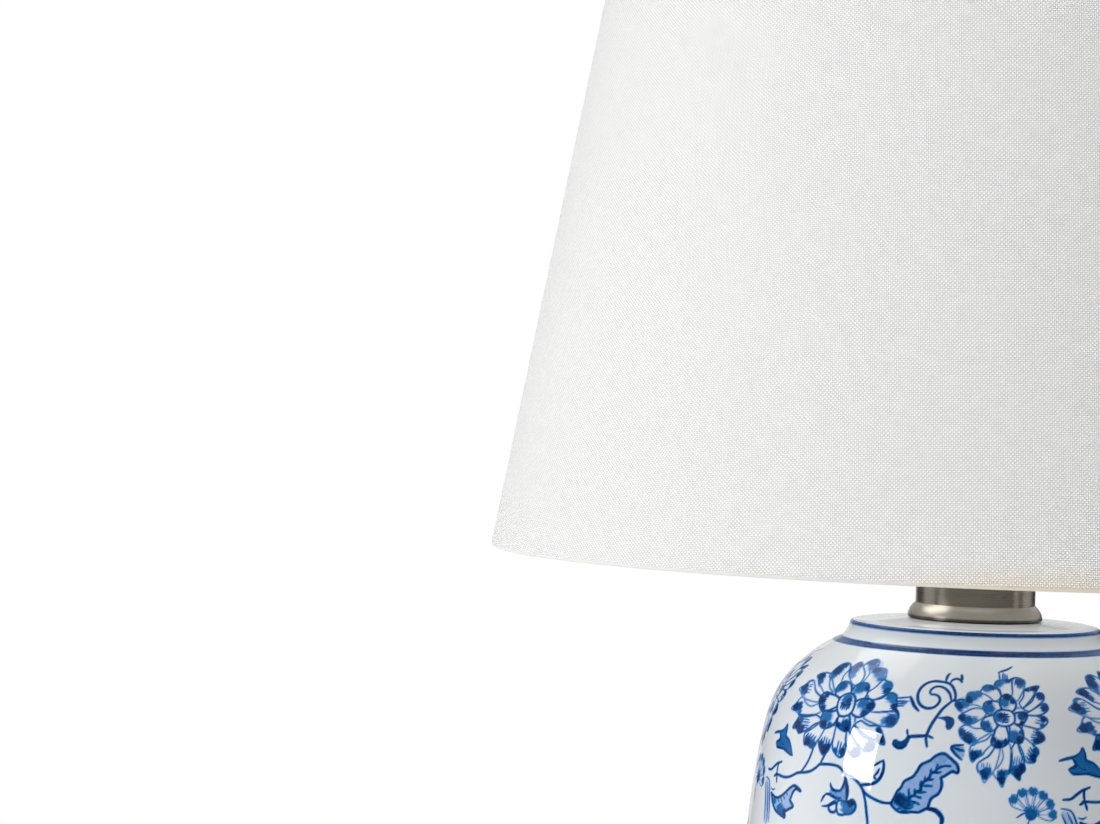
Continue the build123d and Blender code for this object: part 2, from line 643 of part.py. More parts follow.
def bulb_form(inset):
    """The glass envelope's outside, or its inside when inset."""
    radius = BULB_RADIUS - inset
    middle = bulb_bottom + BULB_LENGTH - BULB_RADIUS
    angle = math.radians(BULB_WAIST_ANGLE)
    waist = at(radius * math.cos(angle), middle - radius * math.sin(angle))
    low = bulb_base_top - BULB_GLASS_TUCK + inset
    neck = bulb_glass_radius - inset
    neck_top_point = at(neck, bulb_base_top + BULB_NECK_HEIGHT)
    dome = ThreePointArc(waist, at(radius, middle), at(0, middle + radius))
    lead = (math.sin(angle), 0, math.cos(angle))
    flare = Spline(neck_top_point, waist, tangents=[(0, 0, 1), lead])
    return turned(dome, Polyline(at(0, middle + radius), at(0, low), at(neck, low), neck_top_point), flare)


def bulb_globe():
    return bulb_form(0) - bulb_form(BULB_GLASS)


# ================================================================ shade
def wall_section(outer_depth, inner_depth, low, high):
    """Flat outline of the shade's wall between two depths and two levels, x for the radius."""
    return Polygon(
        (shade_radius(low, inner_depth), low),
        (shade_radius(low, outer_depth), low),
        (shade_radius(high, outer_depth), high),
        (shade_radius(high, inner_depth), high),
        align=None,
    )


def cone_shell(*section_sizes):
    """Slice of the shade's wall, turned about the lamp's axis."""
    return revolve(Plane.XZ * wall_section(*section_sizes), Axis.Z)


def shade_fabric():
    return cone_shell(0, FABRIC_THICKNESS, shade_bottom, shade_top)


def shade_liner():
    return cone_shell(FABRIC_THICKNESS, shade_wall, shade_bottom, shade_top)


def ring_centre(level):
    """Radius of a wire ring's centre line, the ring wrapped in cloth beside the liner."""
    return shade_radius(level, shade_wall) - (RING_WIRE_RADIUS + SLIP / 2 + HEM_SQUEEZE) * wall_lean


def wire_ring(level):
    """Wire hoop inside the liner."""
    return revolve(Plane.XZ * Pos(ring_centre(level), level) * Circle(RING_WIRE_RADIUS), Axis.Z)


top_ring_level = shade_top - RING_INSET
bottom_ring_level = shade_bottom + RING_INSET


def rolled_hem(level, direction):
    """Cloth folded round a wire ring and laid on the liner, up or down from the ring."""
    low, high = sorted((level, level + direction * HEM_WIDTH))
    middle = Pos(ring_centre(level), level)
    section = middle * Circle(RING_WIRE_RADIUS + HEM_THICKNESS)
    section -= wall_section(0, shade_wall, shade_bottom, shade_top)
    section += wall_section(shade_wall, shade_wall + HEM_THICKNESS, low, high)
    section -= middle * Circle(RING_WIRE_RADIUS + SLIP / 2)
    return revolve(Plane.XZ * section, Axis.Z)


def arm_angles():
    """Directions of the spider's arms, one of them to the back."""
    return [90 + index * 360 / SPIDER_ARMS for index in range(SPIDER_ARMS)]


def shade_top_hem():
    """Upper hem, notched where each spider arm comes through."""
    hem = rolled_hem(top_ring_level, -1)
    notch = Pos(ring_centre(top_ring_level), 0, top_ring_level) * Cylinder(
        SPIDER_WIRE_RADIUS + LOOSE, 2 * HEM_WIDTH, align=(Align.CENTER, Align.CENTER, Align.MAX))
    for angle in arm_angles():
        hem -= Rot(0, 0, angle) * notch
    return hem


def shade_bottom_hem():
    return rolled_hem(bottom_ring_level, 1)


def shade_seam():
    """Lap of the liner at the back, between the two hems."""
    low = bottom_ring_level + HEM_WIDTH + LOOSE
    high = top_ring_level - HEM_WIDTH - LOOSE
    strip = cone_shell(shade_wall + SLIP, shade_wall + SLIP + SEAM_THICKNESS, low, high)
    slab = Pos(0, SHADE_BOTTOM_RADIUS, 0) * Box(SEAM_WIDTH, 2 * SHADE_BOTTOM_RADIUS, 2 * shade_top)
    return strip & slab


def spider_hub():
    return tube(HUB_RADIUS, STUD_RADIUS + LOOSE, hub_bottom, hub_top)


def spider_arms():
    """Bent wires welded on the hub, each ending under the top ring."""
    level = hub_top + SPIDER_WIRE_RADIUS
    ring = ring_centre(top_ring_level)
    start = FINIAL_BASE_RADIUS + 3 * LOOSE
    end = top_ring_level - RING_WIRE_RADIUS
    path = FilletPolyline((start, 0, level), (ring, 0, level), (ring, 0, end), radius=SPIDER_BEND)
    arm = sweep(Plane(origin=path @ 0, z_dir=path % 0) * Circle(SPIDER_WIRE_RADIUS), path)
    return Compound([Rot(0, 0, angle) * arm for angle in arm_angles()])


# ================================================================ finial
def finial():
    """Ball finial with a blind bore for the harp's stud."""
    ball_middle = hub_top + FINIAL_BASE_THICKNESS + FINIAL_NECK_HEIGHT + FINIAL_BALL_RADIUS
    knob = cylinder(FINIAL_BASE_RADIUS, hub_top, hub_top + FINIAL_BASE_THICKNESS)
    knob = fillet(knob.edges().group_by(Axis.Z)[-1], FINIAL_BASE_THICKNESS / 3)
    knob += cylinder(FINIAL_NECK_RADIUS, hub_top, ball_middle)
    knob += Pos(0, 0, ball_middle) * Sphere(FINIAL_BALL_RADIUS)
    bore_top = stud_seat + STUD_LENGTH + LOOSE
    return knob - cylinder(STUD_RADIUS + RUNNING, hub_top, bore_top)


PIECES = {
    "felt_pad": felt_pad(),
    "base_shell": base_shell(),
    "base_ballast": ballast(),
    "base_washer": tube(WASHER_RADIUS, tube_hole, base_nut_top, ballast_bottom),
    "base_nut": hex_nut(base_nut_top - NUT_THICKNESS),
    "cord_bushing": cord_bushing(),
    "threaded_tube": threaded_tube(),
    "jar_foot_gasket": jar_foot_gasket(),
    "jar_body": jar_body(),
    "vase_cap_gasket": vase_cap_gasket(),
    "vase_cap": vase_cap(),
    "neck_column": neck_column(),
    "neck_top_plate": neck_top_plate(),
    "harp_saddle": harp_saddle(),
    "saddle_nut": hex_nut(saddle_top),
    "socket_cap": socket_cap(),
    "socket_set_screw": socket_set_screw(),
    "socket_shell": socket_shell(),
    "socket_insulator": socket_insulator(),
    "socket_body": socket_body(),
    "socket_screw_shell": socket_screw_shell(),
    "socket_center_contact": socket_center_contact(),
    "terminal_screws": terminal_screws(),
    "switch_shaft": switch_shaft(),
    "switch_knob": switch_knob(),
    "harp_wire": harp_wire(),
    "harp_stud": harp_stud(),
    "harp_sleeve_left": harp_sleeve(-1),
    "harp_sleeve_right": harp_sleeve(1),
    "bulb_contact": bulb_contact(),
    "bulb_insulator": bulb_insulator(),
    "bulb_screw_base": bulb_screw_base(),
    "bulb_globe": bulb_globe(),
    "shade_fabric": shade_fabric(),
    "shade_liner": shade_liner(),
    "shade_top_ring": wire_ring(top_ring_level),
    "shade_bottom_ring": wire_ring(bottom_ring_level),
    "shade_top_hem": shade_top_hem(),
    "shade_bottom_hem": shade_bottom_hem(),
    "shade_seam": shade_seam(),
    "spider_hub": spider_hub(),
    "spider_arms": spider_arms(),
    "finial": finial(),
}

os.makedirs("parts", exist_ok=True)
for name, piece in PIECES.items():
    export_step(piece, f"parts/{name}.step")

print("shade from", round(shade_bottom, 2), "to", round(shade_top, 2), "mm")
print("jar from", round(jar_bottom, 2), "to", round(jar_top, 2), "mm")
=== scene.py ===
# %% [markdown]
# # A ginger jar lamp
# The construction comes first: every solid piece is already at its place, in metres, with the
# lamp's axis along Z and its front towards -Y.

# %% Load the solid pieces
import math

import bpy
import numpy as np
from mathutils import Matrix, Vector


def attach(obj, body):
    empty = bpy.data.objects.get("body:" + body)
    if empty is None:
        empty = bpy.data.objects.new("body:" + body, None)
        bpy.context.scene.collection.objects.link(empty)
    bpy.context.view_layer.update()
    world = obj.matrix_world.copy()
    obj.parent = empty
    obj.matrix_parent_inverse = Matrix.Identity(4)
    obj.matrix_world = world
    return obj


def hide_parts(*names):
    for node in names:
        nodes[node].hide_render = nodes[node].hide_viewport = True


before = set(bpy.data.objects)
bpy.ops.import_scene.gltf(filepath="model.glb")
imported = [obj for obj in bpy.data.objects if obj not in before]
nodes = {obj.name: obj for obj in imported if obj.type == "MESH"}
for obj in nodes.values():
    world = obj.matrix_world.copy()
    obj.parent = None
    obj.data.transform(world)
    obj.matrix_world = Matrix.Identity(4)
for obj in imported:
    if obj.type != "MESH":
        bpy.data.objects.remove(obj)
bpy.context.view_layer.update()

scene = bpy.context.scene
MM = 0.001

# %% [markdown]
# ## The camera
# The lamp stands to the right of the picture's middle and the lens looks level, a little above
# the shade's lower rim, so that rim shows as a shallow curve. The camera is turned very slightly
# about its own view line, because the picture leans by under two degrees.

# %% Camera
CAMERA_PLACE = (-0.16908, -1.03218, 0.36825)
CAMERA_ROLL = 0.031
LENS_MM = 86.06
SENSOR_MM = 36
camera_data = bpy.data.cameras.new("camera")
camera_data.lens = LENS_MM
camera_data.sensor_width = SENSOR_MM
camera = bpy.data.objects.new("camera", camera_data)
camera.matrix_world = (
    Matrix.Translation(CAMERA_PLACE)
    @ Matrix.Rotation(math.pi / 2, 4, "X")
    @ Matrix.Rotation(CAMERA_ROLL, 4, "Z")
)
scene.collection.objects.link(camera)
scene.camera = camera
scene.view_settings.view_transform = "Standard"
print("camera at", CAMERA_PLACE)

# %% [markdown]
# ## Sums written as sums
# A shader is a web of small nodes. Wiring them by hand hides the idea, so a socket is wrapped in
# a class whose operators add the nodes: `1 - mask` is then one Math node. Colours and vectors
# get a Vector Math node, because a Math node would turn a colour grey.

# %% A socket that can be used in sums
class Wire:
    """One output socket of a finish, usable in sums."""

    def __init__(self, finish, socket):
        self.finish = finish
        self.socket = socket

    def combine(self, operation, left, right):
        sockets = [v.socket for v in (left, right) if isinstance(v, Wire)]
        kind = "Math"
        if any(s.type in ("VECTOR", "RGBA") for s in sockets):
            kind = "VectorMath"
            left, right = (v if isinstance(v, (Wire, tuple)) else (v, v, v) for v in (left, right))
        return self.finish.node(kind, {"operation": operation}, {0: left, 1: right})

    def apply(self, operation, kind="Math", out=0):
        """One more operation on this value alone."""
        return self.finish.node(kind, {"operation": operation}, {0: self}, out)

    def axis(self, index):
        """One number of a vector: 0, 1 or 2 for x, y or z."""
        return self.finish.node("SeparateXYZ", {}, {0: self}, index)

    def __add__(self, other):
        return self.combine("ADD", self, other)

    def __sub__(self, other):
        return self.combine("SUBTRACT", self, other)

    def __rsub__(self, other):
        return self.combine("SUBTRACT", other, self)

    def __mul__(self, other):
        return self.combine("MULTIPLY", self, other)

    def __pow__(self, other):
        return self.combine("POWER", self, other)

    def __abs__(self):
        return self.apply("ABSOLUTE")

    __radd__ = __add__
    __rmul__ = __mul__


# %% A finish: one material and the ways to add to it
class Finish:
    """A material under construction."""

    def __init__(self, name, world=None):
        self.owner = world or bpy.data.materials.new(name)
        self.owner.use_nodes = True
        self.tree = self.owner.node_tree
        self.tree.nodes.clear()

    def node(self, kind, settings=None, sockets=None, out=0):
        """Adds any node: its settings first, then the values or links of its sockets."""
        made = self.tree.nodes.new("ShaderNode" + kind)
        for key, value in (settings or {}).items():
            if key == "stops":
                self.set_stops(made.color_ramp, value)
            else:
                setattr(made, key, value)
        for key, value in (sockets or {}).items():
            if isinstance(value, Wire):
                self.tree.links.new(value.socket, made.inputs[key])
            else:
                made.inputs[key].default_value = value
        return Wire(self, made.outputs[out]) if len(made.outputs) else made

    def set_stops(self, ramp, stops):
        while len(ramp.elements) < len(stops):
            ramp.elements.new(0.5)
        for element, (place, colour) in zip(ramp.elements, stops):
            element.position = place
            element.color = (*colour, 1)

    def place(self):
        """Where on the object a point is, in metres."""
        return self.node("TexCoord", out=3)

    def ray(self, kind):
        """1 for rays of one kind and 0 for all others."""
        return self.node("LightPath", out=f"Is {kind} Ray")

    def noise(self, scale, detail=3.0, rough=0.5, at=None, out=0):
        """Smooth random values near 0.5; scale is in features per metre."""
        sockets = {"Vector": at or self.place(), "Scale": scale, "Detail": detail, "Roughness": rough}
        return self.node("TexNoise", {}, sockets, out)

    def fade(self, value, low, high, first=0.0, last=1.0):
        """A smooth step from first to last while value goes from low to high."""
        return self.node("MapRange", {"interpolation_type": "SMOOTHSTEP"},
                         {"Value": value, "From Min": low, "From Max": high, "To Min": first, "To Max": last})

    def between(self, factor, first, last):
        """A colour between two colours."""
        first, last = (v if isinstance(v, Wire) else (*v, 1) for v in (first, last))
        return self.node("Mix", {"data_type": "RGBA"}, {0: factor, 6: first, 7: last}, 2)

    def bump(self, height, depth, strength=1.0):
        """A normal that follows a height from 0 to 1; depth is in metres."""
        return self.node("Bump", {}, {"Height": height, "Distance": depth, "Strength": strength})

    def shine(self, strength, kind="Emission"):
        """White light of a given strength."""
        return self.node(kind, {}, {"Color": (1, 1, 1, 1), "Strength": strength})

    def surface(self, **sockets):
        """Closes the finish with a Principled surface."""
        named = {key.replace("_", " ").title().replace("Ior", "IOR"): v for key, v in sockets.items()}
        for key, value in named.items():
            if isinstance(value, tuple) and len(value) == 3:
                named[key] = (*value, 1)
        return self.close(self.node("BsdfPrincipled", {}, named))

    def close(self, shader, kind="OutputMaterial"):
        self.node(kind, {}, {"Surface": shader})
        return self.owner


print("ready to write finishes")

# %% [markdown]
# ## The room
# A white sweep under soft studio light. The background is white for the camera and for mirrors
# only, so that it adds no light of its own, and the floor near the lamp stays a real surface
# that keeps the lamp's shadow. For mirrors the room behind the camera is dark, as a studio is,
# with a wide and a narrow pale strip at the sides: that is what the nickel neck mirrors.

# %% The world around
SOFT_LIGHT = 0.45
DARK_SIDE = 0.07
WHITE_BEHIND = 0.62
WIDE_STRIP = (0.02, 0.12), (0.50, 0.68), 0.42
NARROW_STRIP = (-0.36, -0.26), (-0.20, -0.10), 0.52


def pale_strip(finish, depth, begins, ends, level):
    """A strip that fades in over two depths and out over two others."""
    return finish.fade(depth, *begins) * finish.fade(depth, *ends, level, 0.0)


def mirrored_room(finish, depth):
    """What mirrors see on the level, from dark in front (depth -1) to white behind (depth 1)."""
    strips = [pale_strip(finish, depth, *strip) for strip in (WIDE_STRIP, NARROW_STRIP)]
    return finish.fade(depth, 0.93, 0.99, 0.0, WHITE_BEHIND) + strips[0] + strips[1] + DARK_SIDE


room = bpy.data.worlds.new("room")
scene.world = room
air = Finish("room", world=room)
direction = air.node("TexCoord", out=0)
mirrored = mirrored_room(air, direction.axis(1)) + air.fade(direction.axis(2), 0.3, 0.9, 0.0, 0.3)
camera_ray, mirror_ray, glass_ray = (air.ray(kind) for kind in ("Camera", "Glossy", "Transmission"))
seen = camera_ray + mirror_ray * mirrored + glass_ray
unseen = 1 - (camera_ray + mirror_ray + glass_ray)
air.close(air.shine(seen + SOFT_LIGHT * unseen, "Background"), "OutputWorld")
print("world light", SOFT_LIGHT)

# %% [markdown]
# Everything that is modelled here is made of rings of points about the lamp's axis, joined by
# quads. Three small functions do that, for the floor first and for the jar and the shade later.


# %% Rings of points and the quads between them
def ring_points(radius, height, count):
    """Points of a level circle, counted from the front towards the left."""
    angle = np.arange(count) * 2 * math.pi / count
    return np.stack([-radius * np.sin(angle), -radius * np.cos(angle), np.full(count, height)], 1)


def mesh_object(name, points, faces, smooth=True):
    """A new mesh piece from points in metres."""
    mesh = bpy.data.meshes.new(name)
    mesh.from_pydata(points, [], faces)
    mesh.update()
    if smooth:
        mesh.polygons.foreach_set("use_smooth", [True] * len(mesh.polygons))
    made = bpy.data.objects.new(name, mesh)
    scene.collection.objects.link(made)
    return made


def band_faces(rows, columns, close_rows=False):
    """Quads that join rows of points, each row a closed ring."""
    row = np.arange(rows if close_rows else rows - 1)[:, None]
    column = np.arange(columns)[None, :]
    following = (row + 1) % rows
    beside = (column + 1) % columns
    corners = [row * columns + column, row * columns + beside,
               following * columns + beside, following * columns + column]
    return np.stack([np.broadcast_to(c, (len(row), columns)) for c in corners], -1).reshape(-1, 4)


print("rings ready")

# %% [markdown]
# The floor is a disc. Near the lamp it is a pale surface that takes a shadow. Farther out it
# fades into plain white, for the camera and for mirrors, and lights nothing.

# %% The floor
FLOOR_REACH = 9.0
FLOOR_RINGS = (0.0, 0.25, 0.5, 1.0, 1.8, 3.2, 5.5, FLOOR_REACH)
FLOOR_SIDES = 96
FLOOR_LIFT = 0.30
NEAR_FLOOR, FAR_FLOOR = 0.35, 1.5
floor_points = np.concatenate([ring_points(max(r, 0.01), 0, FLOOR_SIDES) for r in FLOOR_RINGS])
floor_faces = band_faces(len(FLOOR_RINGS), FLOOR_SIDES)[:, ::-1].tolist()
floor_faces.append(list(range(FLOOR_SIDES))[::-1])
floor = mesh_object("floor", floor_points, floor_faces, smooth=False)
ground = Finish("pale_floor")
far = ground.fade(ground.place().apply("LENGTH", "VectorMath", 1), NEAR_FLOOR, FAR_FLOOR)
looked_at = ground.ray("Camera")
plain = ground.node("BsdfDiffuse", {}, {"Color": (0.86, 0.86, 0.86, 1)})
near_floor = ground.node("AddShader", {}, {0: plain, 1: ground.shine(FLOOR_LIFT * looked_at)})
mirrors = ground.ray("Glossy")
floor_depth = ground.place().apply("NORMALIZE", "VectorMath").axis(1)
white = ground.shine(looked_at + mirrors * mirrored_room(ground, floor_depth))
faded = {0: far * (looked_at + mirrors), 1: near_floor, 2: white}
floor.data.materials.append(ground.close(ground.node("MixShader", {}, faded)))
print("floor across", 2 * FLOOR_REACH, "m")

# %% [markdown]
# One soft lamp at the left is the key: it is the window-shaped highlight on the glaze. The
# others are wide fills, which light the lamp without showing in it.


# %% The lamps of the studio
def softbox(name, place, target, size, power, tint=(1, 1, 1), mirrored=True):
    """A rectangular soft lamp aimed at a point; size in metres, power in watts."""
    data = bpy.data.lights.new(name, "AREA")
    data.shape = "RECTANGLE"
    data.size, data.size_y = size
    data.energy = power
    data.color = tint
    lamp = bpy.data.objects.new(name, data)
    lamp.location = place
    lamp.rotation_euler = (Vector(target) - Vector(place)).to_track_quat("-Z", "Y").to_euler()
    lamp.visible_glossy = mirrored
    lamp.visible_camera = False
    scene.collection.objects.link(lamp)


MIDDLE = (0.0, 0.0, 0.28)
softbox("key", (-1.25, -0.475, 0.60), (-0.05, -0.063, 0.247), (0.44, 0.38), 8.2)
softbox("left_sheet", (-1.7, 0.35, 0.5), MIDDLE, (1.0, 1.6), 4.2, mirrored=False)
softbox("front_fill", (0.5, -2.3, 1.0), MIDDLE, (1.6, 1.2), 8.0, mirrored=False)
softbox("raking", (-0.2, -1.3, 2.6), (0.0, -0.1, 0.45), (0.8, 0.6), 28.0, mirrored=False)
softbox("top_fill", (0.1, 0.2, 2.2), MIDDLE, (1.4, 1.4), 6.0, mirrored=False)

# %% [markdown]
# A linen shade lets light through, so its inside glows and lights the jar's top and the cap
# below it. One weak warm lamp facing down from the shade's mouth stands for that glow, and a
# small one over the left of the flared cap is the bright spot that the cap mirrors.

# %% The glow inside the shade
GLOW_TINT = (1.0, 0.98, 0.94)
softbox("shade_glow", (0.0, 0.0, 0.345), (0.0, 0.0, 0.3), (0.17, 0.17), 0.11, GLOW_TINT, mirrored=False)
softbox("flare_light", (-0.073, 0.003, 0.360), (-0.029, -0.034, 0.292), (0.060, 0.060), 0.0175, GLOW_TINT)
print("glow inside the shade")

# %% [markdown]
# ## Brushed nickel
# The base, the neck and the fittings are plated steel, brushed round on a lathe. The brushing
# shows as fine lines round the metal: the colour and the gloss change a little from line to
# line, and a shallow bump catches the light. Handling leaves soft cloudy patches, and the
# flared cap gets a painted shadow along its foot, where it sits on the jar.


# %% Brushed nickel
def nickel(name, tone, gloss, lines=2600.0, foot=None):
    """Lathe-brushed metal with so many lines in a metre, and a painted shadow below the height given as foot.
    """
    metal = Finish(name)
    brushing = metal.noise(1.0, 2.0, 0.6, metal.place() * (14.0, 14.0, lines))
    clouds = metal.noise(22.0, 3.0)
    colour = metal.between(metal.fade(brushing * 0.7 + clouds * 0.3, 0.3, 0.7),
                           [v * 0.93 for v in tone], [min(1, v * 1.05) for v in tone])
    # Painted shadow: below the foot's height the colour turns dark brown, where the cap sits on the jar.
    if foot:
        rim = metal.fade(metal.place().axis(2), foot, foot + 0.8 * MM)
        colour = metal.between(rim, (0.17, 0.15, 0.12), colour)
    return metal.surface(base_color=colour, metallic=1.0,
                         roughness=gloss + 0.10 * brushing + 0.08 * clouds,
                         anisotropic=0.6, anisotropic_rotation=0.25,
                         normal=metal.bump(brushing, 0.02 * MM, 0.5))


# Height of the top edge of the painted shadow on the flared cap.
FLARE_SHADOW_LINE = 0.2933
# One nickel in two copies: the base, neck and top plate get a darkened copy, painted shade for the dark
# studio that the neck mirrors, and the flared cap a lightened copy, a painted highlight from the glow under
# the shade.
finishes = {
    "brushed_nickel": nickel("brushed_nickel", (0.46, 0.415, 0.345), 0.20),
    "lit_flare_nickel": nickel("lit_flare_nickel", (0.72, 0.67, 0.58), 0.24, foot=FLARE_SHADOW_LINE),
    "bright_nickel": nickel("bright_nickel", (0.70, 0.66, 0.60), 0.12, 1400.0),
}
print("nickel written")

# %% [markdown]
# ## The plain finishes
# Small parts wear simple stuff, but none of it is one flat colour: cast iron has grain, zinc has
# spangle, mouldings have a faint orange-peel skin, and rubber and felt are never quite even.


# %% Grained finishes from one pattern
def grained(name, dark, light, scale, gloss, relief, metallic=0.0, **more):
    """A finish whose colour, gloss and relief follow one noise; scale in grains per metre."""
    stuff = Finish(name)
    grain = stuff.noise(scale, 4.0, 0.6)
    patch = stuff.noise(scale / 14, 2.0)
    mixed = stuff.fade(grain * 0.65 + patch * 0.35, 0.32, 0.68)
    return stuff.surface(base_color=stuff.between(mixed, dark, light), metallic=metallic,
                         roughness=gloss + 0.12 * patch, normal=stuff.bump(grain, relief, 0.7), **more)


GRAINED = {
    "cast_iron": ((0.030, 0.030, 0.032), (0.075, 0.072, 0.070), 700, 0.55, 0.0004, 0.6),
    "zinc_steel": ((0.46, 0.46, 0.45), (0.66, 0.66, 0.64), 420, 0.28, 0.00004, 1.0),
    "brass": ((0.62, 0.43, 0.18), (0.83, 0.62, 0.30), 260, 0.22, 0.00003, 1.0),
    "bulb_metal": ((0.62, 0.60, 0.56), (0.80, 0.78, 0.74), 300, 0.25, 0.00003, 1.0),
    "black_plastic": ((0.012, 0.012, 0.013), (0.030, 0.029, 0.028), 900, 0.34, 0.00004),
    "rubber": ((0.020, 0.019, 0.018), (0.055, 0.052, 0.048), 1200, 0.62, 0.00008),
    "card": ((0.36, 0.25, 0.15), (0.56, 0.42, 0.27), 500, 0.75, 0.00006),
    "black_glass": ((0.006, 0.006, 0.008), (0.02, 0.02, 0.025), 120, 0.10, 0.00002),
    "ring_wire": ((0.70, 0.69, 0.66), (0.84, 0.83, 0.80), 300, 0.32, 0.00005),
    # The liner is grey where a styrene liner is white: painted shade for the dim inside of the shade.
    "shade_liner": ((0.61, 0.60, 0.58), (0.68, 0.67, 0.66), 160, 0.42, 0.00003),
}
finishes.update({name: grained(name, *values) for name, values in GRAINED.items()})
finishes["felt"] = grained("felt", (0.012, 0.030, 0.018), (0.045, 0.085, 0.055), 2200, 0.92, 0.0005,
                           sheen_weight=0.6, sheen_roughness=0.5)
finishes["frosted_glass"] = grained("frosted_glass", (0.80, 0.80, 0.78), (0.90, 0.90, 0.88), 60, 0.30,
                                    0.00001, coat_weight=0.6, coat_roughness=0.08)
print("plain finishes:", len(bpy.data.materials))

# %% [markdown]
# ## The jar's shape
# The jar is thrown on a wheel, so its skin is one outline turned about the axis. The outline is
# read from the solid jar and smoothed between its corners. The skin is made as a very fine net
# of quads, because the painting is stored on its points: about two points for every millimetre.


# %% Read the jar's outline from the solid
FACING_OUT = 0.02


def outside_outline(node):
    """Outline points (radius, height) of a turned solid's outside, from the foot to the top."""
    mesh = nodes[node].data
    spots = np.array([vertex.co for vertex in mesh.vertices])
    found = set()
    for face in mesh.polygons:
        corners = spots[list(face.vertices)]
        middle = corners.mean(0)
        facing = np.dot(face.normal[:2], middle[:2]) / math.hypot(*middle[:2])
        if facing > FACING_OUT:
            found |= {(round(math.hypot(x, y), 5), round(z, 5)) for x, y, z in corners}
    return np.array(sorted(found, key=lambda p: (p[1], -p[0])))


def thinned(line, least):
    """The line without points closer together than least."""
    kept = [line[0]]
    for point in line[1:]:
        if np.hypot(*(point - kept[-1])) > least:
            kept.append(point)
    return np.array(kept)


jar_line = thinned(outside_outline("jar_body"), 0.2 * MM)
print("jar outline points:", len(jar_line), jar_line[0], jar_line[-1])


# %% Smooth the outline between its corners
def smooth_run(points, step):
    """A curve through the points with a point about every step."""
    if len(points) == 2:
        slopes = np.repeat((points[1] - points[0])[None], 2, 0) / np.hypot(*(points[1] - points[0]))
    else:
        slopes = np.gradient(points, arc_length(points), axis=0, edge_order=2)
    run = arc_length(points)
    places = np.linspace(0, run[-1], max(2, round(run[-1] / step) + 1))
    index = np.clip(np.searchsorted(run, places, "right") - 1, 0, len(run) - 2)
    span = (run[index + 1] - run[index])[:, None]
    t = (places[:, None] - run[index, None]) / span
    first, last = points[index], points[index + 1]
    return (first * (1 + 2 * t) * (1 - t) ** 2 + slopes[index] * span * t * (1 - t) ** 2
            + last * t * t * (3 - 2 * t) - slopes[index + 1] * span * t * t * (1 - t))


def arc_length(points):
    """How far along a line each of its points lies."""
    return np.concatenate([[0], np.cumsum(np.hypot(*np.diff(points, axis=0).T))])


def smooth_line(points, step, corner=24):
    """Smooth runs joined at the corners, which turn by more than this many degrees."""
    heading = np.degrees(np.unwrap(np.arctan2(*np.diff(points, axis=0).T[::-1])))
    corners = [0, *(np.nonzero(np.abs(np.diff(heading)) > corner)[0] + 1), len(points) - 1]
    runs = [smooth_run(points[a:b + 1], step) for a, b in zip(corners, corners[1:])]
    return np.concatenate([run[:-1] for run in runs] + [runs[-1][-1:]])


POINT_SPACING = 0.45 * MM
skin_line = smooth_line(jar_line, POINT_SPACING)
widest = skin_line[:, 0].max()
AROUND = 4 * round(2 * math.pi * widest / POINT_SPACING / 4)
print("rows", len(skin_line), "columns", AROUND, "widest", round(widest / MM, 2), "mm")

# %% Measure down from the collar's foot
turn = np.diff(skin_line, axis=0)
steep = np.degrees(np.arctan2(turn[:, 1], turn[:, 0]))
upper = np.nonzero(skin_line[:-1, 1] > skin_line[0, 1] + 0.9 * np.ptp(skin_line[:, 1]))[0]
collar_row = upper[0] + int(np.argmin(np.diff(steep)[upper[0]:upper[-1] - 40]))
length = arc_length(skin_line)
down = (length[collar_row] - length) / MM
radius_at = skin_line[:, 0] / MM
print("collar's foot at", skin_line[collar_row] / MM, "mm; painting from", down.min(), "to", down.max())

# %% [markdown]
# ## Painting with a brush
# The decoration is drawn as a painter would: strokes and washes, each given by a few points in
# millimetres round the middle of its motif, x to the right and y up. A stroke is a smooth line
# with a width that thins to its ends. A wash fills a closed line. What is stored on each point
# of the skin is how much cobalt lies there, from 0 to 1. Nothing is an image: the same motif can
# be painted anywhere on the jar, larger, turned or mirrored.

# %% Bare porcelain
cobalt = np.zeros((len(skin_line), AROUND), np.float32)
EDGE = 0.45


def curve(points, closed=False, step=0.7):
    """A smooth line through the points."""
    if closed:
        points = np.concatenate([points[-1:], points, points[:2]])
    else:
        points = np.concatenate([2 * points[:1] - points[1:2], points, 2 * points[-1:] - points[-2:-1]])
    made = []
    for a, b, c, d in zip(points, points[1:], points[2:], points[3:]):
        t = np.linspace(0, 1, max(2, math.ceil(np.hypot(*(c - b)) / step)), endpoint=False)[:, None]
        made.append(b + 0.5 * t * (c - a + t * (2 * a - 5 * b + 4 * c - d + t * (3 * (b - c) + d - a))))
    return np.concatenate(made if closed else [*made, points[-2:-1]])


# %% The brush
STREAKS = 84


def numbers(text):
    """A table from text: a space between rows, a comma between the numbers of a row."""
    return np.array([[float(v) for v in row.split(",")] for row in text.split()])


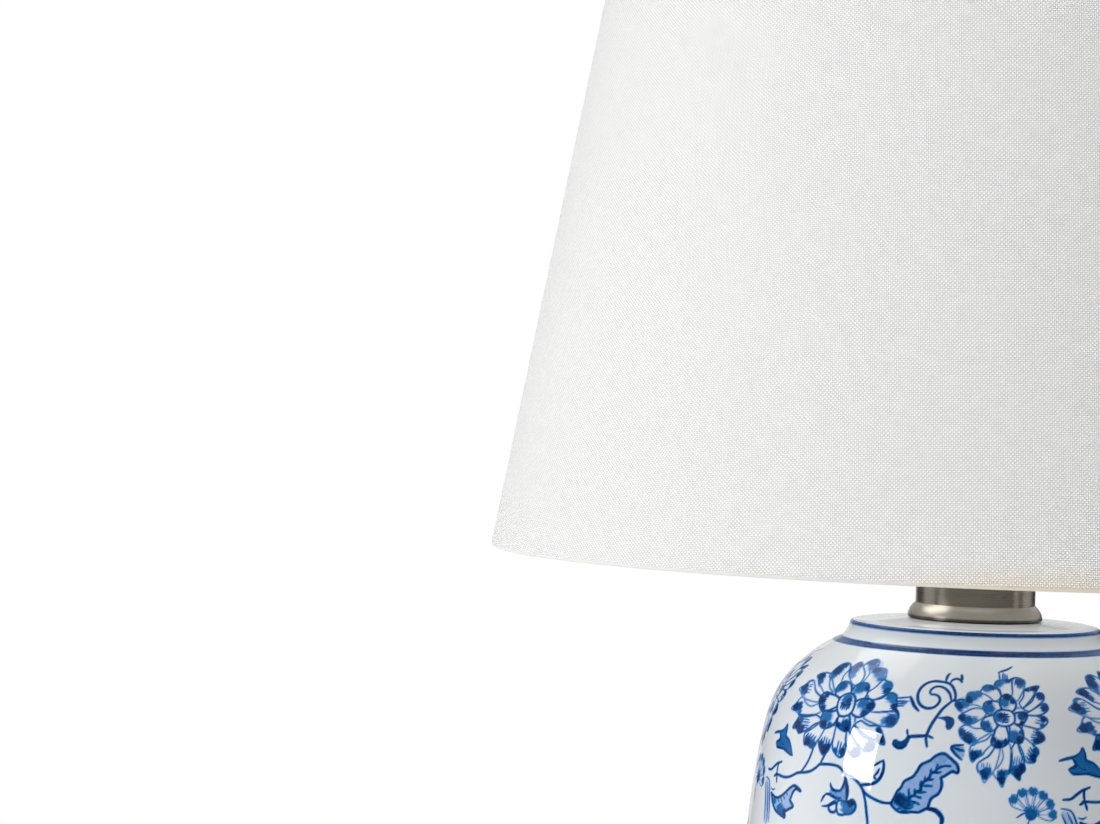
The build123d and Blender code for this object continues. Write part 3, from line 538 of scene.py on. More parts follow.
class Brush:
    """Paints one motif in its own millimetres on a window of the skin."""

    def __init__(self, angle, middle, reach=34, scale=1.0, turn=0.0, flip=1):
        self.rows = np.nonzero(np.abs(down - middle) < reach * scale)[0]
        step = 360 / AROUND
        half = math.ceil(math.degrees(reach * scale / radius_at[self.rows].min()) / step)
        self.columns = round(angle / step) + np.arange(-half, half + 1)
        self.x = np.radians(angle - self.columns * step) * radius_at[self.rows][:, None]
        self.y = np.repeat((middle - down[self.rows])[:, None], len(self.columns), 1)
        self.place = np.ix_(self.rows, self.columns % AROUND)
        self.wet = cobalt[self.place]
        self.scale = scale
        turn = math.radians(turn)
        self.matrix = scale * np.array([[flip * math.cos(turn), -math.sin(turn)],
                                        [flip * math.sin(turn), math.cos(turn)]])

    def spots(self, text):
        """Points written as "x,y x,y", put at the motif's place."""
        return numbers(text) @ self.matrix.T

    def near(self, points, margin):
        """The part of the window round the points."""
        low, high = points.min(0) - margin, points.max(0) + margin
        rows = np.nonzero((self.y[:, 0] > low[1]) & (self.y[:, 0] < high[1]))[0]
        columns = np.nonzero((self.x.max(0) > low[0]) & (self.x.min(0) < high[0]))[0]
        return np.ix_(rows, columns)

    def distance(self, part, points):
        """How far each spot is from a line, and how far along the line the nearest place is."""
        x, y = self.x[part][..., None], self.y[part][..., None]
        start, run = points[:-1], np.diff(points, axis=0)
        t = ((x - start[:, 0]) * run[:, 0] + (y - start[:, 1]) * run[:, 1]) / (run ** 2).sum(1)
        t = np.clip(t, 0, 1)
        away = np.hypot(x - start[:, 0] - t * run[:, 0], y - start[:, 1] - t * run[:, 1])
        nearest = away.argmin(-1)[..., None]
        along = (nearest + np.take_along_axis(t, nearest, -1)) / len(run)
        return np.take_along_axis(away, nearest, -1)[..., 0], along[..., 0]

    def add(self, part, value):
        self.wet[part] = np.maximum(self.wet[part], value)

    def line(self, strokes, width=0.8, tone=0.9, tip=0.4):
        """Brush strokes, parted by semicolons."""
        for text in strokes.split(";"):
            points = curve(self.spots(text))
            part = self.near(points, width)
            away, along = self.distance(part, points)
            half = width * self.scale / 2 * (tip + (1 - tip) * np.sin(math.pi * along) ** 0.6)
            self.add(part, tone * np.clip((half - away) / EDGE + 0.5, 0, 1))

    def cover(self, text):
        """The window's part inside a closed line and how much of each spot is inside."""
        points = curve(self.spots(text), closed=True)
        part = self.near(points, 1.0)
        points = np.concatenate([points, points[:1]])
        away, _ = self.distance(part, points)
        x, y = self.x[part][..., None], self.y[part][..., None]
        (x0, y0), (x1, y1) = points[:-1].T, points[1:].T
        crosses = ((y0 > y) != (y1 > y)) & (x < x0 + (y - y0) * (x1 - x0) / (y1 - y0 + 1e-12))
        inside = crosses.sum(-1) % 2 == 1
        return part, np.clip(np.where(inside, away, -away) / EDGE + 0.5, 0, 1)

    def fill(self, text, tone):
        """A flat wash inside a closed line."""
        part, cover = self.cover(text)
        self.add(part, tone * cover)

    def petal(self, text, shades="", width=0.75, tone=0.85, white=True):
        """A petal that hides what is behind it, shaded at each "x,y,reach,tone" with dry streaks."""
        part, cover = self.cover(text)
        if white:
            self.wet[part] *= 1 - cover
        x, y = self.x[part], self.y[part]
        swerve = 2 * np.sin(0.5 * x) + 2 * np.cos(0.6 * y)
        ragged = 0.5 + 0.5 * np.sin(STREAKS * np.arctan2(y, x) + swerve)
        for *middle, reach, depth in numbers(shades):
            cx, cy = self.matrix @ middle
            soft = np.exp(-(((x - cx) ** 2 + (y - cy) ** 2) / (1.25 * reach * self.scale) ** 2) ** 1.4)
            dark = np.clip(soft * 1.5 - 0.55 * ragged * (1.3 - soft), 0, 1)
            self.add(part, depth * cover * dark)
        self.line(text + " " + text.split()[0], width, tone, 0.8)

    def done(self):
        cobalt[self.place] = self.wet


print("brush ready")

# %% [markdown]
# ## The peony
# A full flower in three layers. The long outer petals come first, dark at their tips with dry
# streaks towards the heart, then six round petals, then the bud, each layer hiding the last.


# %% Peony
def peony(angle, middle, **how):
    b = Brush(angle, middle, **how)
    b.petal("-0.5,8 -1.2,14 -2,17.5 -1.5,19.5 -0.2,21 1.2,21.7 3,20.9 4.3,18.5 5.2,15 4.5,11 3,8",
            "0.8,20,2.2,0.85 2.6,17.4,2,0.6", tone=0.6)
    b.fill("3.2,21.2 5,20.6 6.6,17.6 4.6,17", 0.18)
    b.petal("2.5,8 3.2,13 2.2,15.6 3.2,16.9 6,17.3 9,16.6 10.6,13.5 11.2,11.4 9.8,8 7,5",
            "5.2,16.2,2,0.95 7.6,14.6,2.4,0.6 9.4,12.3,1.8,0.55", tone=0.55)
    b.petal("7,4.5 9.5,8 10.6,11.3 12.4,11 14.2,10.6 15.6,9.2 16,7.5 15.6,5.8 13.5,3.4 10,2",
            "13.7,9,2,0.62 14.9,6.8,1.6,0.85", tone=0.7)
    b.petal("8,1.8 12,2.3 14.5,3.4 16.5,5.8 19.3,5 20.3,3 21.5,0.5 20.3,-1.6 17,-2.3 14,-2.8 11,-2.5",
            "17.6,4.3,1.9,0.6 19.3,2.6,1.5,0.5 20.6,0.3,1.2,0.9")
    b.line("19.4,3.7 22,4.1 25,4.7;19.4,2.5 23,2.7 25.3,2.8;19.4,1.3 22,1.6 24.8,1.9;19,0.2 22,0.6 24.3,0.9",
           0.75, 0.75)
    b.line("24.8,5 26.2,3.4 28,1.2 30.5,-0.8", 1.1, 0.95)
    b.line("20,-0.2 21.5,-1 23,-2.6 23.8,-4.2", 1.3, 1.0)
    b.petal("11,-2.6 14,-2.8 18,-2.3 22,-2 23.5,-4.2 23.7,-5.5 22.3,-7.6 20,-7.8 17,-7.7 15,-7.2 10,-5.5",
            "21.2,-5.4,2.3,0.85 18.8,-5.8,1.5,0.5", tone=0.6)
    b.petal("9,-6.5 13,-8 16.3,-7.9 18.5,-9.5 20.8,-14.4 16,-13 12,-11.5 7,-8.5",
            "19.2,-12.3,2,1 17.6,-9.2,1.2,0.95", tone=0.8)
    b.petal("6.5,-8.5 11,-12 14,-13 16.8,-14.6 16.5,-17 13.5,-17.7 10,-15.5 6,-12", "15.3,-16.1,2.1,0.9")
    b.petal("4,-10 7,-13 10,-16 11.6,-18.6 9.3,-20.4 6.6,-18.9 4.8,-16 3.4,-12", "9.4,-18.8,1.9,0.9")
    b.petal("-13,-6.8 -19,-8.2 -23.2,-8.3 -24.5,-10 -26.4,-13.2 -23.8,-13.3 -21.5,-14.8 -19,-14 -16.5,-13 "
            "-13.5,-10.8 -9.5,-8.5", "-23.6,-12.1,2.4,1 -20.6,-13.2,1.9,0.95 -22,-10,1.6,0.7")
    b.line("-22.5,-9.2 -16.5,-9.2;-22,-10.4 -15.8,-10.2;-21,-11.6 -16,-11.3;-20,-12.6 -16,-12.2", 0.6, 0.65)
    b.petal("-14,-2.4 -18,-3.9 -22,-3 -25.3,-1 -27.3,-2 -28.8,-4 -31.2,-6.3 -27,-7 -23.5,-7.8 -19,-7.6 "
            "-15,-7 -11,-5", "-28.2,-5.2,2,0.95 -25.6,-4.9,1.8,0.85 -24.3,-6.8,1.2,0.6", tone=0.55)
    b.line("-25,-8 -19,-7.8 -14.8,-6.9", 1.0, 0.85)
    b.petal("-13,0.5 -18,2 -21,4.2 -23,6.3 -26.5,5.6 -28.5,4 -31.2,2 -29,0.8 -25.5,-1 -21,-1.8 -15,-1.8",
            "-27.8,3.2,2.2,0.95 -26,1.6,1.8,0.75", tone=0.5)
    b.line("-27,3.6 -22.5,3.8;-27,2.4 -22,2.4;-26.5,1.2 -22.3,1.2;-25,4.6 -22.6,4.8", 0.6, 0.6)
    b.line("-27.5,5.6 -25,6.6 -22.8,6.3", 0.9, 0.65)
    b.petal("-13,1.8 -17,4.5 -19,5.2 -21.5,7.6 -23.6,9.2 -21,10.8 -18,11.3 -16,10.8 -14.3,8.5 -12,5 -9,3",
            "-20.6,8.9,2.2,0.95 -19,6.9,1.5,0.7", tone=0.6)
    b.line("-23.2,6.2 -21,4.5 -19,2.5 -15,0.8 -13,0.5", 0.8, 0.75)
    b.petal("-8,3.5 -11,6.5 -13,8.5 -15.9,10 -15.4,13.6 -13.7,16.5 -11,17.7 -9,17 -7.6,14.8 -8.2,11 -7.5,8",
            "-13.6,13.3,2.6,0.9 -11.6,16.5,1.8,0.85 -13.7,10.6,1.6,0.55", tone=0.6)
    b.petal("-2,8 -4.4,10.3 -6,12 -7.6,14.8 -6.7,16.8 -5.2,19 -3.6,18.5 -2.2,17 0,14.8 1.6,12.3 1.8,9 1,7",
            "-4.6,17.6,1.9,0.95 -5.3,14.6,2.2,0.75 -4.4,11.8,1.7,0.5", tone=0.65)
    b.petal("-9.5,-9 -13.5,-12 -17.3,-14.3 -17.6,-16 -16.8,-18.5 -14.5,-18.6 -12.5,-19.4 -10.6,-18.6 "
            "-9.6,-16.3 -8.6,-15.2 -6,-11", "-15,-17.6,1.9,1 -12,-18,1.7,0.8", tone=0.75)
    b.line("-16,-17 -13.5,-14.2;-14.5,-17 -12,-14.4;-12.6,-16.8 -10.6,-14.8;-16.8,-15.8 -15,-14", 0.65, 0.85)
    b.petal("-6.3,-10 -8,-14 -9,-16.2 -7.6,-19.3 -5.6,-21.1 -3.5,-19.8 -2.4,-17.3 -1.6,-14 -1,-10",
            "-5.6,-19.4,2.1,1 -7.3,-17.6,1.5,0.95 -3.5,-18,1.4,0.9", tone=0.7)
    b.line("-7.8,-17.2 -7.1,-14.8;-6.2,-17.6 -5.9,-14.3;-4.8,-17.8 -4.7,-14.6;-3.6,-17.2 -3.3,-15",
           0.65, 0.85)
    b.petal("-1.5,-9 -1.6,-14 -1.6,-17 -0.3,-19.3 2.8,-21.1 4.6,-19.8 4.8,-17.5 4.2,-14 3.1,-9.5",
            "3.9,-19,1.5,0.95 0.3,-19,1.2,0.7", tone=0.8)
    b.line("0.9,-19.4 1.2,-15;2.2,-20 2.5,-15.4;3.5,-19.6 3.9,-16", 0.6, 0.8)
    heart_of_peony(b)
    b.done()


def heart_of_peony(b):
    """The six round petals and the bud."""
    b.petal("-5,1 -6.7,2.2 -8.1,4.8 -7.4,7.5 -5.2,8.7 -2.5,7.9 -0.8,6 0,3.5 -2,3",
            "-5.6,6.5,2.1,0.75 -6.8,4.6,1.3,0.6")
    b.petal("0,3 0,6 0.9,8 2.6,8.9 5,8.9 6.7,7.3 7.4,4 6.8,1.6 4.8,0.8 2,2.5",
            "3.2,6.8,2.5,0.62 6.2,6.8,1.3,0.9 1.6,4.9,1.3,0.45")
    b.petal("4,0.5 6,1.9 9.5,2.2 11.6,1.1 12.6,-0.8 11,-3.3 8.8,-5 6.5,-5.3 4,-4.2 3.6,-1.5",
            "7.7,0.3,2.3,0.58 11,-0.7,1.8,1 9.4,-3.6,1.4,0.9", width=0.95)
    b.petal("-4,-2.6 -7.5,-4.4 -10,-5.1 -12.2,-4 -13.9,-1.8 -14.4,0.6 -12.4,2.7 -9,2.2 -6.3,1.9 -4,0.5",
            "-12.8,-0.7,1.9,0.95 -11.3,1.9,1.3,0.9 -11,-3.8,1.4,0.9", width=0.95)
    b.petal("-3,-3.6 -5,-4.4 -9.4,-4.9 -10.1,-8 -9.4,-10.7 -6.5,-11.1 -3.6,-9.9 -2.1,-7.8 -1.6,-5",
            "-7.3,-6.9,2.4,0.62 -8.2,-9.7,1.7,1 -4.9,-9.8,1.1,0.75", width=0.95)
    b.petal("-1.4,-5 -1.6,-8 -0.5,-10 3.4,-11.2 4.9,-10 4.4,-7.5 3,-5.2",
            "2.7,-8.8,2,0.85 3.6,-10.2,1,1 -0.2,-9.2,0.9,0.9", width=0.95)
    b.line("-2.2,-7 -1.3,-9 -0.2,-10", 1.3, 1.0)
    b.fill("5.6,-5.4 6.4,-8 7,-6.6 6.3,-5.2", 0.5)
    b.petal("-4.2,-0.3 -3.2,2.3 0,3.7 2.8,2.4 4,-0.5 4,-3.5 2.2,-5.4 -1,-5.8 -3.3,-3.5",
            "-0.2,1,2.2,0.65 0.6,0.6,1.4,0.95", width=0.9)
    b.line("-1.8,-0.6 -1.9,-3;-0.9,-0.6 -0.9,-3.4;0,-0.6 0.1,-3;0.9,-0.8 1.1,-3.3;1.7,-0.6 2,-2.6",
           0.75, 0.95)
    b.line("-2.4,-0.7 0,-1.3 2.2,-0.6", 1.3, 0.95)


print("peony ready")

# %% [markdown]
# ## Leaves, tendrils and small flowers
# Between the peonies run vines. A big leaf is a pale wash with a dark base and dark veins; a
# scroll is a double curl with two drop-shaped buds; the vine carries a small open flower.


# %% Scroll and leaf
def scroll(angle, middle, **how):
    b = Brush(angle, middle, reach=24, **how)
    b.line("0.6,-15.3 0,-12.5 0.3,-10.5 1.5,-7 3,-4 4.6,-1 6.2,1 7.6,2.6", 1.1, 0.9, 0.7)
    b.line("7.6,2.6 8.6,3.6 8.4,6 7,9 5.5,10.5 3,11.2 0,11.3 -2.5,10.3 -4.5,8 -5.3,5 -4.8,2 -3.3,0 -1,-0.9 "
           "1.3,-0.4 2.8,1.2 3.2,3 2.3,4.6 0.8,5.1 -0.2,5", 1.05, 0.95, 0.7)
    b.line("7.4,2.8 7.1,4 6.3,6 4.5,8 2.3,8.9 0.4,8.5 -0.8,7 -0.9,5.7 -0.1,5", 0.95, 0.9, 0.6)
    b.line("7.6,2.8 9.3,3 11.2,3.6 13.5,3.2", 1.0, 0.9)
    b.line("4,11.5 4,13.5 4.4,15.2 4.9,15.7;5.8,11 6,12 7,13 8.5,13 9.6,12 9.9,11.3;9,15.4 9.5,13.8 "
           "9.7,12.4", 0.95, 0.95)
    b.fill("3.6,-4.2 5,-4.2 7,-3.8 9,-4.5 9.6,-6.2 8.9,-8 7.6,-8.7 6.7,-7.6 6.6,-6 5.6,-5 4,-4.6", 0.85)
    b.line("3.4,-4.3 5,-4.3 7,-3.9 9,-4.6 9.5,-6.3", 0.7, 1.0)
    b.line("0.2,-11.3 -2.5,-11.7 -5,-12 -6.8,-12.3", 1.2, 0.95, 0.8)
    b.fill("-7,-11 -7.2,-12.3 -8.5,-13.8 -10,-14.2 -11,-13.6 -12,-14 -12,-15.5 -10.5,-16.6 -8.5,-16.5 "
           "-6.9,-15.3 -6,-13.3 -6,-12.4", 0.85)
    b.line("-12,-14 -12.2,-15.5 -10.5,-16.7 -8.5,-16.6 -6.9,-15.4;-7.4,-9.6 -7,-11.5;0.4,-11.2 2.6,-12.2",
           0.8, 1.0)
    b.fill("13.5,-14 9.8,-14.8 11,-17 13.5,-19 14.4,-17", 0.3)
    b.line("13.8,-13.8 9.6,-14.8 11,-17.2 13.6,-19.4;9.8,-14.8 12,-15.6 14.2,-16", 1.0, 0.95)
    b.done()


def big_leaf(angle, middle, stem=True, **how):
    b = Brush(angle, middle, reach=27, **how)
    edge = ("-6.8,-4.5 -6,-3 -4.8,-0.3 -3.6,1 -2.6,3.3 -0.5,4.7 0.7,5.5 2,7.5 3.2,9.8 5,10.9 6.6,11.8 8,13.2 "
            "9.8,14.3 11.5,14.5 13.3,13.3 15,12 16.3,10.8 16.9,9 16.6,7.9 14.8,8.3 13.3,7.4 12,6.4 10.9,5.8 "
            "11.3,4 11.2,2 10.3,0 9,-1 7.8,-2 7.3,-3.5 6.8,-5.3 5.4,-6.2 3.5,-7.2 1,-7.3 -2,-7.8 -4.3,-7.4 "
            "-6.5,-5.8 -7,-5")
    b.fill(edge, 0.30)
    b.petal(edge, "-3.8,-3.2,2.2,0.95 -2,-4.2,2.4,0.9 0.2,-4.6,1.6,0.62 10,12.5,3,0.36", 1.05, 0.95, False)
    b.line("-5.5,-4.6 -0.5,-3 0,-2 1.7,-1.2 2,0 3.7,0.6 3.9,2.2 4.8,4 6.5,5.2 7.2,7.2 8.5,7.8 9.5,9 "
           "11.5,10 14,10.2", 1.15, 0.95, 0.6)
    b.line("-0.3,-3 -0.6,1.1;1.7,-1.5 1.6,1.2;3.8,0.8 3.6,4.2;5.2,4.2 5,5.8;7.1,7 7,8.8;9,8.6 9.3,10.6;"
           "0,-3.2 3.8,-4.3;1.8,-1.5 4.4,-2;2.5,-0.2 6,0.3;3.9,2.3 8.2,2.6;5.2,4.4 8.2,5;7.3,7.4 10.8,7.7",
           0.95, 0.9)
    b.line("-4.6,-6.8 -2,-6.2 0.8,-6.2;-3,-7.2 0,-6.8", 0.6, 0.9)
    if stem:
        b.line("-24,3.3 -20,0.4 -17.8,-2.2 -14,-4 -10,-5 -6.5,-4.8", 1.0, 0.9, 0.8)
        b.line("-19,-0.8 -17.5,-4.5 -16.5,-9 -15.8,-12.8 -15.6,-17", 1.0, 0.9, 0.6)
        b.line("7,-5.6 9.5,-6 11.3,-7.3 12.3,-9 12.1,-10.8", 1.7, 0.95, 0.7)
        b.line("-20,0.4 -17,0.9 -14,1.8 -12,3.8 -11,6.5 -10.9,8.8 -11.3,10.2", 1.2, 0.95, 0.6)
        b.line("-11.3,10.2 -13,9.2 -14.8,8;-14.5,4.3 -13.4,5.3 -12.5,7.2;-14.6,4.2 -13.6,3", 0.85, 0.95)
    b.done()


print("scroll and leaf ready")


# %% Vine with a small flower
def vine(angle, middle, **how):
    b = Brush(angle, middle, reach=33, **how)
    b.line("-22,0.6 -18,0.3 -14,0.3 -10.5,1.2 -7,2.8 -5,3.3 -2,3.8 1,4.7 3.5,6.3 5.2,7.7 8,8.1 11,8.3 "
           "14,8.1 16,7.2 17.5,6 22,4.5 25,2.5 27.5,-0.3", 1.0, 0.9, 0.8)
    b.line("-5,3.3 -3,5.5 -1.2,8.5 0,12 0.4,15 0.5,17;5.3,7.6 6,9.5 7.3,12.5 7.5,14.5", 0.95, 0.85, 0.8)
    b.line("-30,1.3 -27,1.5 -24.5,3 -22,4.5 -20.5,5 -18.5,5.6", 1.0, 0.9, 0.6)
    b.line("-21,4.3 -21.4,2 -21,0.7;-21.5,0.3 -23.5,-0.6;-19.6,5.4 -21,4.6 -21.6,3;-21.2,0.4 -20.4,-2.6",
           0.95, 0.9)
    b.line("-30,15.3 -27,16 -24,16.6 -22,17.5", 1.1, 0.85)
    b.fill("-22,17.3 -20.9,18.2 -19.8,19.6 -19,17.6 -18.9,15.6 -16,14.2 -13.8,12 -11.8,9 -15,9.5 -19,10.5 "
           "-22,10.6 -25,10.6 -26.5,12.2 -24.4,12.6 -23.8,14.5 -23.4,16.4", 0.62)
    b.line("-26.6,12.2 -25,10.6 -22,10.6 -19,10.6 -15,9.5 -11.6,8.8", 1.1, 0.95)
    b.line("-22.6,17.3 -20.9,18.3 -19.7,19.8 -19,17.6 -18.8,15.4 -16,14.2 -13.8,12 -11.6,8.8", 0.9, 0.95)
    b.line("-24.4,16.4 -23.4,13.6 -26.4,12.2", 1.3, 0.95)
    b.line("-23,14.5 -21.5,12.5 -19,11.8", 0.7, 0.95)
    b.fill("-31,-3 -27.5,-4 -25.5,-9 -24,-18 -27.5,-18.5 -28.5,-12 -30,-7", 0.22)
    b.line("-31,-1.8 -27,-3 -25,-8 -23.8,-13 -23,-18;-31,-4 -29.5,-7.5 -28.2,-12 -27.4,-18;-28.6,-3.4 "
           "-26.6,-8.5 -25.4,-13 -24.8,-18", 0.75, 0.85)
    leaf = ("-23.8,-7 -22,-7.6 -19,-8.2 -16,-7.3 -13,-5.5 -10,-3.2 -7.5,-2 -5,-2.5 -3.2,-3.5 -6,-3 -7.7,-4.5 "
            "-8.5,-6.5 -9,-7.7 -8,-8.5 -6.6,-9.7 -9,-11 -10.5,-11.8 -11.5,-12.5 -11.2,-14.5 -15,-13.8 "
            "-18.5,-12.8 -21.5,-10.5 -23.5,-7.5")
    b.fill(leaf, 0.26)
    b.petal(leaf, "-15,-12.4,2.6,0.66 -12,-12.6,1.4,0.9 -20,-9.5,1.5,0.5", 1.05, 0.95, False)
    b.line("-20,-8.2 -18.5,-10.2;-18,-8 -16.3,-9.8;-16,-7.3 -14.3,-9.2;-14,-6.3 -12.5,-8;-12,-5 -11,-6.3;"
           "-22.5,-8 -20.5,-10.5;-21.5,-8 -19.5,-11;-24.5,-5.2 -22.8,-5.7 -21,-5.1", 0.6, 0.8)
    small_flower(b)
    b.done()


def small_flower(b):
    """An open flower hanging from the vine."""
    b.fill("12.4,-0.4 14,-0.8 16,-0.8 17.8,0.6 18.3,4 19.4,1 19.8,-3.4 17.5,-4 15.6,-3.6 13,-2.8 11.8,-2.4",
           0.4)
    b.line("17.8,5.9 18.6,3.4 19.8,0.6 20.2,-2 20,-4.4", 1.5, 1.0, 0.3)
    b.line("18.3,4.6 18.2,2.2 17.6,0.4 16.6,-1.2;11.8,1.5 12.6,0 14,-0.9 16,-0.9 17.6,-0.1;10.2,-2.7 "
           "12,-2.6 14,-3.2 16,-3.7 17.6,-3.3", 1.05, 0.95)
    b.line("10.4,-2.8 9.3,-4 8.6,-5.8;15.6,-4.2 13.4,-5.8 11.8,-6.9 9.2,-7.4", 0.85, 0.9)
    b.petal("12.3,-7 13.2,-8.6 15.2,-8.9 16.3,-7.6 15.9,-5.4 14.2,-5.9", width=1.0, tone=0.95)
    b.petal("16.3,-4.6 17.8,-4.1 20,-4.6 21.5,-4 22.8,-3.4 24.2,-4.6 24.4,-6.6 23,-8.3 20.5,-8.9 18.8,-9.4 "
            "17.2,-9.1 16.2,-7.2", "21.2,-6.4,2.7,0.55 22.3,-4.6,1.5,0.95 18.7,-5,1,0.5", width=1.0)
    b.line("20.2,-4.6 21.6,-4.5 23.4,-4.4", 1.7, 1.0)


def fan_flower(angle, middle, **how):
    """A pale flower seen from its side."""
    b = Brush(angle, middle, reach=26, **how)
    for turn in range(-70, 71, 28):
        side, up = math.sin(math.radians(turn)), math.cos(math.radians(turn))
        edge = numbers("3,0 9,3 15,4.4 19.4,1.6 18.4,0 19.4,-1.6 15,-4.4 9,-3")
        ring = " ".join(f"{side * r + up * w:.2f},{up * r - side * w:.2f}" for r, w in edge)
        b.petal(ring, f"{side * 16.5},{up * 16.5},3,0.62 {side * 5},{up * 5},1.6,0.5", 0.8, 0.7)
        b.line(f"{side * 4:.2f},{up * 4:.2f} {side * 12:.2f},{up * 12:.2f}", 0.6, 0.6)
    b.fill("-4.5,2.5 0,4.4 4.5,2.5 3.4,-2.6 0,-4.4 -3.4,-2.6", 0.75)
    b.line("0,-4 0.6,-9 2.6,-14 6,-18;-2,1 -6,-2 -9,-6", 1.1, 0.9)
    b.done()


print("vine and flowers ready")

# %% [markdown]
# ## Laying out the decoration
# Two plain bands circle the collar. The upper register is seen in the picture: peony, scroll,
# leaf and vine. It repeats four times round the jar. Below it come three more registers, each
# shifted by half a repeat, and a border of pointed lappets stands between bands near the foot.


# %% Bands and border
def band(first, last, tone=1.0):
    """A plain band between two distances down from the collar's foot, paler twice a turn as a painted
    reflection.
    """
    inside = np.clip(np.minimum(down - first, last - down) / EDGE + 0.5, 0, 1)
    # Painted reflection: the band's cobalt is made paler twice a turn, as if the glaze mirrored light there.
    reflection_paling = 0.88 + 0.12 * np.cos(2 * (2 * math.pi * np.arange(AROUND) / AROUND - math.radians(5)))
    cobalt[:] = np.maximum(cobalt, tone * inside[:, None] * reflection_paling)


FOOT_RADIUS = 66.5


def lappets(middle, count):
    """Pointed leaves that stand round the foot."""
    for index in range(count):
        b = Brush((index + 0.5) * 360 / count, middle, reach=15)
        wide = math.radians(360 / count) * FOOT_RADIUS / 2
        left = [(round(f * wide, 2), y) for f, y in ((-0.96, -11), (-0.9, -2), (-0.55, 5))]
        edge = left + [(0, 11.5)] + [(-x, y) for x, y in left[::-1]]
        b.line(" ".join(f"{x},{y}" for x, y in edge), 1.1, 0.9, 0.9)
        b.fill("-1.9,-8 -2.2,-2 0,6 2.2,-2 1.9,-8 0,-9.6", 0.5)
        b.line("0,-9 0,7", 0.8, 0.95)
        b.done()


band(-2.2, 1.7)
band(-10.1, -8.2, 0.95)
band(227.4, 229.4)
band(233.6, 234.8, 0.8)
band(262.2, 264.6)
lappets(248.5, 24)
print("bands:", int((cobalt.max(1) > 0.5).sum()), "rows")

# %% The registers
for start in range(0, 360, 90):
    fan_flower(start + 84, 66, scale=0.5, turn=-20)
    peony(start + 91, 31, scale=0.80, turn=78)
    vine(start + 55, 62)
    big_leaf(start + 24, 60)
    scroll(start + 21, 28)
    peony(start + 47, 29.5)
print("upper register painted")
for start in range(0, 360, 90):
    big_leaf(start + 54, 121, stem=False, turn=-70, scale=0.95)
    big_leaf(start + 8, 120, turn=8, flip=-1, scale=0.85)
    scroll(start + 54, 96, scale=0.8, turn=-8)
    vine(start + 77, 102, scale=0.97)
    peony(start + 29, 95, scale=0.97, flip=-1)
    scroll(start + 98, 147, scale=0.9, turn=10, flip=-1)
    vine(start + 28, 152, scale=1.05, flip=-1)
    fan_flower(start + 52, 150, scale=0.75, turn=-14)
    peony(start + 75, 148, scale=0.95, turn=8)
    big_leaf(start + 52, 182, stem=False, turn=60, flip=-1)
    scroll(start + 8, 184, scale=0.85, turn=100)
    vine(start + 76, 194, scale=0.95, turn=4)
    fan_flower(start + 52, 209, scale=0.62, turn=170)
    big_leaf(start + 6, 208, stem=False, turn=-40, scale=0.9)
    peony(start + 29, 200, scale=0.9, flip=-1, turn=-6)
print("painted share", round(float((cobalt > 0.1).mean()), 3))

# %% [markdown]
# ## Porcelain
# White porcelain under a clear glaze: a milky body, a sharp coat, and under the coat the cobalt.
# Thin cobalt is a pale grey-blue wash, thick cobalt is nearly navy, and it pools unevenly where
# the brush was wet, so noise shifts the painted value before it becomes a colour. The glaze has
# a very faint orange peel, which softens mirrored lamps.

# %% Porcelain finish
GLAZE_WHITE = (0.63, 0.67, 0.695)
COBALT_STOPS = (
    (0.00, GLAZE_WHITE),
    (0.26, (0.27, 0.39, 0.63)),
    (0.50, (0.010, 0.155, 0.43)),
    (0.76, (0.002, 0.066, 0.235)),
    (1.00, (0.0005, 0.016, 0.085)),
)
glaze = Finish("porcelain")
painted = glaze.node("Attribute", {"attribute_name": "cobalt"}, out=2)
pooling = glaze.noise(900, 3.0, 0.6)
broad = glaze.noise(160, 2.0)
uneven = painted * (1 + 0.45 * (pooling - 0.5) + 0.3 * (broad - 0.5))
pigment = glaze.node("ValToRGB", {"stops": COBALT_STOPS}, {0: uneven})
cloudy = glaze.between(glaze.fade(glaze.noise(18, 2.0), 0.3, 0.7), (0.965, 0.975, 0.985), (1, 1, 1))
porcelain = glaze.surface(
    base_color=pigment * cloudy, roughness=0.28 + 0.06 * broad, specular_ior_level=0.0,
    coat_weight=1.0, coat_roughness=0.03, normal=glaze.bump(glaze.noise(90, 2.0), 0.00025, 0.25))
print("porcelain written")

# %% [markdown]
# ## The jar's skin
# The outline is turned about the axis. The same net goes on over the seat, down the hole for the
# tube and round the hollow of the foot, so the jar is one closed piece of real thickness.


# %% Turn the jar
def turned(line, columns):
    """Rows of points for an outline of (radius, height) turned about the axis."""
    return np.concatenate([ring_points(radius, height, columns) for radius, height in line])


HOLE_RADIUS = 5.3 * MM
FOOT_HOLLOW = 53.0 * MM
HOLLOW_TOP = 30.8 * MM
inside_line = np.array([(HOLE_RADIUS, skin_line[-1, 1]), (HOLE_RADIUS, HOLLOW_TOP),
                        (FOOT_HOLLOW, HOLLOW_TOP), (FOOT_HOLLOW, skin_line[0, 1])])
jar_rings = np.concatenate([skin_line, inside_line])
jar_faces = band_faces(len(jar_rings), AROUND, close_rows=True)[:, ::-1]
jar_skin = mesh_object("jar_skin", turned(jar_rings, AROUND), jar_faces.tolist())
jar_skin.data.set_sharp_from_angle(angle=math.radians(28))
density = np.zeros((len(jar_rings), AROUND), np.float32)
density[:len(skin_line)] = cobalt
jar_skin.data.attributes.new("cobalt", "FLOAT", "POINT").data.foreach_set("value", density.ravel())
jar_skin.data.materials.append(porcelain)
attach(jar_skin, "stand")
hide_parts("jar_body")
print("jar points:", len(jar_skin.data.vertices))

# %% [markdown]
# ## The shade's cloth
# The cloth is a plain weave glued to a stiff sheet and rolled over a wire ring at each
# edge. It is one closed strip: from inside the lower edge, round the ring, up the outside, over
# the top ring and a little way down inside. At the back its ends lap over each other in a seam.


